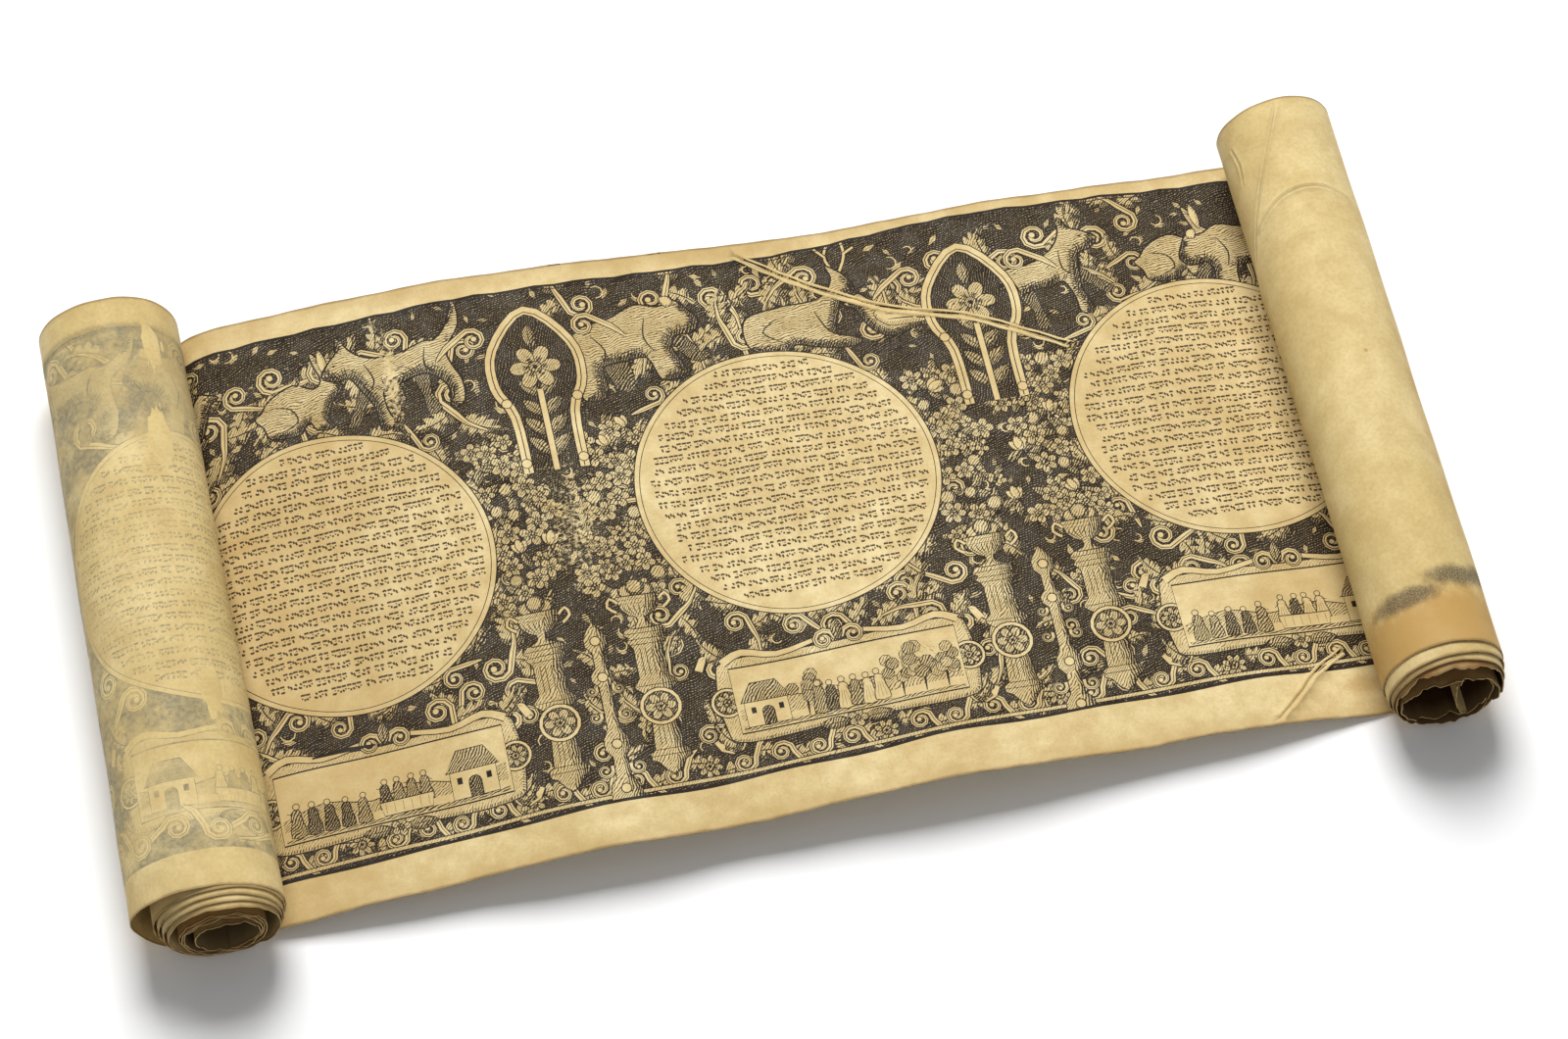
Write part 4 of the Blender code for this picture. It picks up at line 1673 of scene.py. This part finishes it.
def etched_print():
    """Ink of an etched plate: lines that swell with the tone, crossed in the dark, rubbed where worn."""
    inputs = {"Place": ORIGIN, "Tone": 0.0, "Lean": 0.3, "Wear": 0.0, "Line Pitch": 0.95}
    group, start, end = shader_group("etched_print", inputs, ("Ink",))
    place, tone, lean = (start[name] for name in ("Place", "Tone", "Lean"))
    apart = node(group, "SeparateXYZ", {0: place}).outputs
    wobble = swing(group, place, 0.12, 4.5)
    breaks = swing(group, place, 1.1, 0.9)

    def lines(angle, wanted):
        across = less(group, times(group, apart[1], maths(group, "COSINE", angle)),
                      times(group, apart[0], maths(group, "SINE", angle)))
        across = maths(group, "DIVIDE", plus(group, across, wobble), start["Line Pitch"])
        wave = less(group, times(group, maths(group, "FRACT", across), 2.0), 1.0)
        wave = maths(group, "ABSOLUTE", wave)
        wanted = plus(group, wanted, breaks)
        return maths(group, "MULTIPLY_ADD", less(group, wanted, wave), 2.6, 0.5, clamp=True)

    first = lines(lean, tone)
    cross = lines(plus(group, lean, 1.1), maths(group, "MULTIPLY_ADD", tone, 1.3, -0.65))
    hatch = maths(group, "MAXIMUM", first, times(group, cross, ramp(group, tone, 0.5, 0.7)))
    hatch = times(group, hatch, ramp(group, tone, 0.02, 0.08))
    ink = maths(group, "MAXIMUM", hatch, ramp(group, tone, 0.965, 0.985))
    rubbed = noise(group, place, 0.55, 3.0, 0.65)
    worn = times(group, start["Wear"], 0.45)
    gone = maths(group, "MULTIPLY", less(group, plus(group, worn, 0.30), rubbed), 5.0, clamp=True)
    kept = less(group, 1.0, gone)
    uneven = ramp(group, noise(group, place, 0.05, 3.0, 0.6), 0.3, 0.7, 0.985, 1.0)
    put(group, end["Ink"], times(group, times(group, ink, kept), uneven))
    return group


def edge_browning():
    """How browned a place is by its nearness to the sheet's near and far edges."""
    group, start, end = shader_group(
        "edge_browning", {"Place": ORIGIN, "Half Height": 125.0, "Reach": 7.0}, ("Brown", "Rim"))
    across = maths(group, "ABSOLUTE", node(group, "SeparateXYZ", {0: start["Place"]}).outputs[1])
    waver = swing(group, start["Place"], 0.14, 9.0, 4.0, 0.6)
    left_over = less(group, start["Half Height"], plus(group, across, waver))
    put(group, end["Brown"], ramp(group, left_over, start["Reach"], 0.0))
    close = less(group, start["Half Height"], plus(group, across, times(group, waver, 0.12)))
    put(group, end["Rim"], ramp(group, close, 1.3, 0.2))
    return group


def spot():
    """A soft patch with an uneven outline at a place on the sheet."""
    group, start, end = shader_group(
        "spot", {"Place": ORIGIN, "Middle": ORIGIN, "Reach": (5, 5, 1), "Unevenness": 0.5, "Speckle": 0.0},
        ("Amount",))
    place = start["Place"]
    apart = vector_maths(group, "SUBTRACT", place, start["Middle"]).outputs[0]
    flat = vector_maths(group, "MULTIPLY", apart, (1.0, 1.0, 0.0)).outputs[0]
    share = vector_maths(group, "DIVIDE", flat, start["Reach"]).outputs[0]
    far = vector_maths(group, "LENGTH", share).outputs["Value"]
    ragged_by = swing(group, place, 0.16, start["Unevenness"], 4.0, 0.65)
    gone = times(group, ramp(group, noise(group, place, 1.6, 4.0, 0.8), 0.6, 0.4), start["Speckle"])
    amount = ramp(group, plus(group, far, ragged_by), 1.0, 0.35)
    put(group, end["Amount"], times(group, amount, less(group, 1.0, gone)))
    return group


def show_through():
    """The print as it shows, faint and blotched, through the back of the parchment."""
    group, start, end = shader_group("show_through", {"Place": ORIGIN, "Tone": 0.0, "Sepia": 0.0}, ("Ghost",))
    place = start["Place"]
    blots = ramp(group, noise(group, place, 0.055, 5.0, 0.75), 0.38, 0.60, 0.36, 1.0)
    flecks = ramp(group, noise(group, place, 0.5, 3.0, 0.7), 0.35, 0.65, 0.62, 1.0)
    strength = ramp(group, start["Sepia"], 0.0, 1.0, 1.0, 0.80)
    ghost = times(group, times(group, start["Tone"], strength), times(group, blots, flecks))
    put(group, end["Ghost"], ghost)
    return group


# Stains, smudges and darker patches, some of them painted shade: where, how far along and across, how uneven
# the outline, how strong
Patch = namedtuple("Patch", "middle reach unevenness strength")
RUST = {
    "parchment_recto": (
        Patch((-196.0, 32.0), (9.0, 7.0), 0.8, 0.45),
        Patch((-150.0, -52.0), (12.0, 5.0), 0.8, 0.4),
        Patch((206.0, -112.0), (10.0, 6.0), 0.6, 0.4),
    ),
    "parchment_verso": (
        Patch((-283.0, 22.0), (1.7, 1.7), 0.3, 0.9),
        Patch((300.0, -117.0), (95.0, 25.0), 0.9, 0.85),
        Patch((300.0, 5.0), (1.2, 1.2), 0.3, 0.8),
        Patch((272.0, -20.0), (16.0, 90.0), 0.8, 0.35),
    ),
}
SMUDGES_AND_SHADE = {
    "parchment_recto": (
        # The written side: darker along the left roll, darker over the left part, the painted shadow of a
        # slight fold in the far margin, and a little darker over the right part
        Patch((-217.0, 0.0), (16.0, 190.0), 0.4, 0.4),
        Patch((-205.0, -20.0), (110.0, 190.0), 0.5, 0.5),
        Patch((10.0, 123.0), (34.0, 8.0), 0.5, 0.4),
        Patch((190.0, 0.0), (70.0, 130.0), 0.5, 0.2),
    ),
    "parchment_verso": (
        # The back: smudges along the right roll's near edge, a thin dark strip near the left roll's far edge,
        # and a darker patch towards the left roll's far end
        Patch((272.0, -93.0), (17.0, 6.0), 0.6, 0.95),
        Patch((292.0, -96.0), (18.0, 6.0), 0.6, 0.95),
        Patch((315.0, -102.0), (20.0, 6.0), 0.6, 0.9),
        Patch((-300.0, 112.0), (60.0, 3.0), 0.6, 0.4),
        Patch((-335.0, 88.0), (75.0, 34.0), 0.8, 0.2),
    ),
}

# What sets the two skins apart: the grain's size, how far the edges are browned and how much, the most
# of the pale colour in the clouds, and how broken the smudges are
Skin = namedtuple("Skin", "coarseness edge_reach edge_strength paleness speckle")
SKINS = {
    "parchment_recto": Skin(1.0, 9.0, 0.45, 0.75, 0.0),
    "parchment_verso": Skin(1.4, 4.0, 0.25, 0.5, 0.5),
}


def new_material(name):
    """A new material, its node tree and its shader."""
    material = bpy.data.materials.new(name)
    material.use_nodes = True
    return material, material.node_tree, material.node_tree.nodes["Principled BSDF"]


def carried(tree, *labels):
    """The values that the sheet's faces and corners carry under these names."""
    return [node(tree, "Attribute", {}, attribute_name=label).outputs["Fac"] for label in labels]


def finish_skin(tree, shader, colour, grain, roughness, relief):
    """Give a shader its colour, a roughness between two values, and the grain's relief."""
    put(tree, shader.inputs["Base Color"], colour)
    put(tree, shader.inputs["Roughness"], ramp(tree, grain["Mottling"], 0.0, 1.0, *roughness))
    bump = node(tree, "Bump", {"Height": grain["Relief"], "Strength": relief, "Distance": 0.0004})
    put(tree, shader.inputs["Normal"], bump.outputs["Normal"])


def parchment_material(name, groups, colours, sizes):
    """The skin of one side of the sheet."""
    recto = name == "parchment_recto"
    look = SKINS[name]
    half = sizes.height / 2 / MM
    _, tree, shader = new_material(name)
    place = node(tree, "Attribute", {}, attribute_name="place").outputs["Vector"]
    # The place's third value: how browned and darkened by painted shade the skin is deep in a roll
    browning_and_shade = node(tree, "SeparateXYZ", {0: place}).outputs[2]
    grain = placed(tree, groups["grain"], Place=place, Coarseness=look.coarseness)
    edge = placed(tree, groups["edge"], Place=place, Half_Height=half, Reach=look.edge_reach)
    main = colours.parchment if recto else colours.back
    skin = mixed(tree, ramp(tree, grain["Clouds"], 0.2, 0.9, 0.0, look.paleness), main, colours.pale)
    skin = mixed(tree, times(tree, grain["Mottling"], 0.42), skin, colours.ochre)
    skin = mixed(tree, times(tree, grain["Specks"], 0.13), skin, colours.browned)
    # Darker patches: ochre on the written side, where some are painted shade, and soot on the back
    soot_and_shade = colours.ochre if recto else colours.soot_and_shade
    stains = [(patch, colours.rust, 0.0) for patch in RUST[name]]
    stains += [(patch, soot_and_shade, look.speckle) for patch in SMUDGES_AND_SHADE[name]]
    for patch, colour, speckle in stains:
        amount = placed(tree, groups["spot"], Place=place, Middle=(*patch.middle, 0.0),
                        Reach=(*patch.reach, 1.0), Unevenness=patch.unevenness, Speckle=speckle)["Amount"]
        skin = mixed(tree, times(tree, amount, patch.strength), skin, colour)
    skin = mixed(tree, times(tree, edge["Brown"], look.edge_strength), skin, colours.ochre)
    if recto:
        tone, lean, sepia, wear = carried(tree, "tone", "lean", "sepia", "wear")
        ink = placed(tree, groups["print"], Place=place, Tone=tone, Lean=lean, Wear=wear)["Ink"]
        colour_of_ink = mixed(tree, sepia, colours.ink, colours.script_ink)
        strength = times(tree, ink, ramp(tree, sepia, 0.0, 1.0, 1.0, 0.95))
        skin = mixed(tree, strength, skin, colour_of_ink)
    else:
        tone, sepia = carried(tree, "tone", "sepia")
        ghost = placed(tree, groups["ghost"], Place=place, Tone=tone, Sepia=sepia)["Ghost"]
        skin = mixed(tree, times(tree, ghost, 0.95), skin, colours.ghost)
    # Deep in the rolls the skin is browned and darkened by painted shade: on the written side more so from
    # the rims to 8 mm in, on the back unevenly with the mottling
    across = maths(tree, "ABSOLUTE", node(tree, "SeparateXYZ", {0: place}).outputs[1])
    if recto:
        deep = ramp(tree, across, half, half - 8.0, 0.86, 1.0)
    else:
        deep = ramp(tree, grain["Mottling"], 0.2, 0.9, 0.8, 1.0)
    aged_and_shaded = mixed(tree, times(tree, browning_and_shade, deep), skin, colours.shaded if recto else colours.aged_and_shaded)
    aged_and_shaded = mixed(tree, times(tree, edge["Rim"], 0.55), aged_and_shaded, colours.browned)
    finish_skin(tree, shader, aged_and_shaded, grain, (0.58, 0.76), 0.28)
    shader.inputs["Specular IOR Level"].default_value = 0.18


def cut_edge_material(groups, colours):
    """The cut and handled edge of the sheet, brown with paler worn places."""
    _, tree, shader = new_material("parchment_edge")
    place = node(tree, "Attribute", {}, attribute_name="place").outputs["Vector"]
    browning_and_shade = node(tree, "SeparateXYZ", {0: place}).outputs[2]
    grain = placed(tree, groups["grain"], Place=place, Coarseness=0.5)
    worn = mixed(tree, ramp(tree, grain["Mottling"], 0.25, 0.85, 0.0, 0.7), colours.ochre, colours.browned)
    # Rims deep in the rolls are mixed towards the ochre by the same weight that browns and shades the skins
    # there
    aged_and_shaded = mixed(tree, times(tree, browning_and_shade, 0.55), worn, colours.ochre)
    finish_skin(tree, shader, aged_and_shaded, grain, (0.6, 0.8), 0.5)


def parchment_materials(sizes, colours):
    """Make the sheet's three materials, unless they are there: written side, back and cut edge."""
    if SIDE_NAMES[RECTO] in bpy.data.materials:
        return
    groups = {"grain": parchment_grain(), "print": etched_print(), "edge": edge_browning(), "spot": spot(),
              "ghost": show_through()}
    for side in (RECTO, VERSO):
        parchment_material(SIDE_NAMES[side], groups, colours, sizes)
    cut_edge_material(groups, colours)


# Where the print is rubbed: the place, how far along and across, how much
WORN_PLACES = (
    (-72.0 + 8.0j, 12.0, 44.0, 0.44),
    (-55.0 + 10.0j, 30.0, 22.0, 0.18),
    (-128.0 + 86.0j, 4.0, 26.0, 0.75),
    (-175.0 + 88.0j, 34.0, 18.0, 0.32),
    (-150.0 - 104.0j, 70.0, 5.0, 0.30),
    (-205.0 - 74.0j, 10.0, 22.0, 0.12),
    (105.0 - 70.0j, 10.0, 30.0, 0.12),
    (36.0 - 70.0j, 8.0, 14.0, 0.25),
)


def wear_at(places):
    """How rubbed the print is at complex places on the sheet, 0 to 1."""
    total = np.zeros(len(places))
    for middle, along, across, amount in WORN_PLACES:
        apart = places - middle
        total += amount * np.exp(-(apart.real / along) ** 2 - (apart.imag / across) ** 2)
    return np.minimum(total, 1.0)


def dress(piece, drawing, covers, flat):
    """Give each face the tone, hatching and ink of the shape that covers it, and each corner its wear."""
    mesh = piece.data
    rows = [drawing[cover] if cover >= 0 else None for cover in covers]
    for label in ("tone", "lean", "sepia"):
        values = [getattr(row, label) if row else 0.0 for row in rows]
        mesh.attributes.new(label, "FLOAT", "FACE").data.foreach_set("value", values)
    wear = wear_at(flat[:, 0] + 1j * flat[:, 1])
    mesh.attributes.new("wear", "FLOAT", "POINT").data.foreach_set("value", wear)


# The photograph's camera: its turn and its height over the floor in degrees, its distance from its aim
# in metres, and its lens in millimetres
CAMERA_TURN = -12.53
CAMERA_HEIGHT = 59.68
CAMERA_DISTANCE = 2.125
CAMERA_AIM = (0.0122, 0.00944, 0.0)
CAMERA_LENS = 128.18

# The soft lights, which look at the scroll's middle: name, place, size in metres, power in watts
LIGHTS = (
    ("window", (0.12, 1.95, 2.6), 1.7, 128.0),
    ("fill", (0.2, -2.2, 1.6), 1.8, 6.0),
)
ROOM_LIGHT = 0.28
FLOOR_REACH = 4


def photo_camera():
    """A camera that sees the scroll as the photograph does."""
    turn, height = math.radians(CAMERA_TURN), math.radians(CAMERA_HEIGHT)
    back = Vector((math.sin(turn) * math.cos(height), -math.cos(turn) * math.cos(height), math.sin(height)))
    lens = bpy.data.cameras.new("camera")
    lens.sensor_width = 36.0
    lens.lens = CAMERA_LENS
    camera = new_object("camera", lens)
    camera.location = Vector(CAMERA_AIM) + back * CAMERA_DISTANCE
    camera.rotation_euler = (-back).to_track_quat("-Z", "Y").to_euler()
    bpy.context.scene.camera = camera


def floor_sheet(colour):
    """The floor that the scroll lies on, as part of the stage."""
    mesh = bpy.data.meshes.new("floor")
    corners = [(x * FLOOR_REACH, y * FLOOR_REACH, 0) for x, y in ((-1, -1), (1, -1), (1, 1), (-1, 1))]
    mesh.from_pydata(corners, [], [(0, 1, 2, 3)])
    material, _, shader = new_material("pale_floor")
    shader.inputs["Base Color"].default_value = (*colour, 1.0)
    shader.inputs["Roughness"].default_value = 0.9
    shader.inputs["Specular IOR Level"].default_value = 0.1
    mesh.materials.append(material)
    floor = new_object("floor", mesh)


def soft_light(name, place, size, power):
    """A square area light that looks at the scroll's middle."""
    light = bpy.data.lights.new(name, "AREA")
    light.shape = "SQUARE"
    light.size = size
    light.energy = power
    lamp = new_object(name, light)
    lamp.location = place
    lamp.rotation_euler = (-Vector(place)).to_track_quat("-Z", "Y").to_euler()


class SCROLL_OT_open_sheet(bpy.types.Operator):
    """Build the open part of the sheet, cut along its etched border and its script"""

    bl_idname = "scroll.open_sheet"
    bl_label = "Open Sheet"

    def execute(self, context):
        sizes = context.scene.scroll_sizes
        parchment_materials(sizes, context.scene.scroll_colours)
        drawing = etching()
        half = sizes.span_near / 2 / MM
        stations = (-half, *PART_BORDERS, half)
        place = open_surface(sizes)
        for name, *ends in zip(PART_NAMES, stations, stations[1:]):
            piece, covers, flat = cut_shell(sizes, name, drawing, ends, place, RECTO, OPEN_STEP)
            dress(piece, drawing, covers, flat)
            settle(piece, flat_length(place, ends), sizes)
        return {"FINISHED"}


class SCROLL_OT_rolls(bpy.types.Operator):
    """Build the two rolls at the ends of the open sheet"""

    bl_idname = "scroll.rolls"
    bl_label = "Rolls"

    def execute(self, context):
        sizes = context.scene.scroll_sizes
        parchment_materials(sizes, context.scene.scroll_colours)
        half = sizes.span_near / 2 / MM
        for name, roll, drawing in zip(("left", "right"), rolls(sizes), (ghost_print(), roll_marks())):
            piece, length = roll_shell(sizes, name + "_roll", roll)
            settle(piece, length, sizes)
            reaches, turns = arc_table(sizes, roll)
            ends = sorted((roll.side * half, roll.side * (half + float(np.interp(1.0, turns, reaches)))))
            place = turn_surface(sizes, roll)
            piece, covers, flat = cut_shell(
                sizes, name + "_outer_turn", drawing, ends, place, VERSO, TURN_STEP)
            dress(piece, drawing, covers, flat)
            settle(piece, flat_length(place, ends), sizes)
        return {"FINISHED"}


class SCROLL_OT_stage(bpy.types.Operator):
    """Set the pale floor, the soft light from the far side and the camera"""

    bl_idname = "scroll.stage"
    bl_label = "Stage"

    def execute(self, context):
        scene = context.scene
        floor_sheet(scene.scroll_colours.floor)
        for light in LIGHTS:
            soft_light(*light)
        world = bpy.data.worlds.new("soft_room")
        world.use_nodes = True
        background = world.node_tree.nodes["Background"]
        background.inputs["Color"].default_value = (1.0, 1.0, 1.0, 1.0)
        background.inputs["Strength"].default_value = ROOM_LIGHT
        scene.world = world
        scene.view_settings.view_transform = "Standard"
        photo_camera()
        return {"FINISHED"}


class SCROLL_PT_panel(bpy.types.Panel):
    """Sizes and colours of the scroll, and the steps that build it"""

    bl_idname = "SCROLL_PT_panel"
    bl_label = "Esther Scroll"
    bl_space_type = "VIEW_3D"
    bl_region_type = "UI"
    bl_category = "Scroll"

    def draw(self, context):
        for settings in (context.scene.scroll_sizes, context.scene.scroll_colours):
            box = self.layout.box()
            for name in settings.bl_rna.properties.keys():
                if name not in ("rna_type", "name"):
                    box.prop(settings, name)
        for operator in STEPS:
            self.layout.operator(operator.bl_idname)


STEPS = (SCROLL_OT_rolls, SCROLL_OT_open_sheet, SCROLL_OT_stage)
CLASSES = (ScrollSizes, ScrollColours, *STEPS, SCROLL_PT_panel)


def register():
    """Make the scroll's settings, steps and panel known to Blender."""
    for item in CLASSES:
        bpy.utils.register_class(item)
    bpy.types.Scene.scroll_sizes = bpy.props.PointerProperty(type=ScrollSizes)
    bpy.types.Scene.scroll_colours = bpy.props.PointerProperty(type=ScrollColours)


def unregister():
    """Take them away again."""
    del bpy.types.Scene.scroll_colours
    del bpy.types.Scene.scroll_sizes
    for item in reversed(CLASSES):
        bpy.utils.unregister_class(item)


def main():
    """Build the scroll and its stage."""
    register()
    bpy.ops.scroll.rolls()
    bpy.ops.scroll.open_sheet()
    bpy.ops.scroll.stage()
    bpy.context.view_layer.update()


if __name__ == "__main__":
    main()
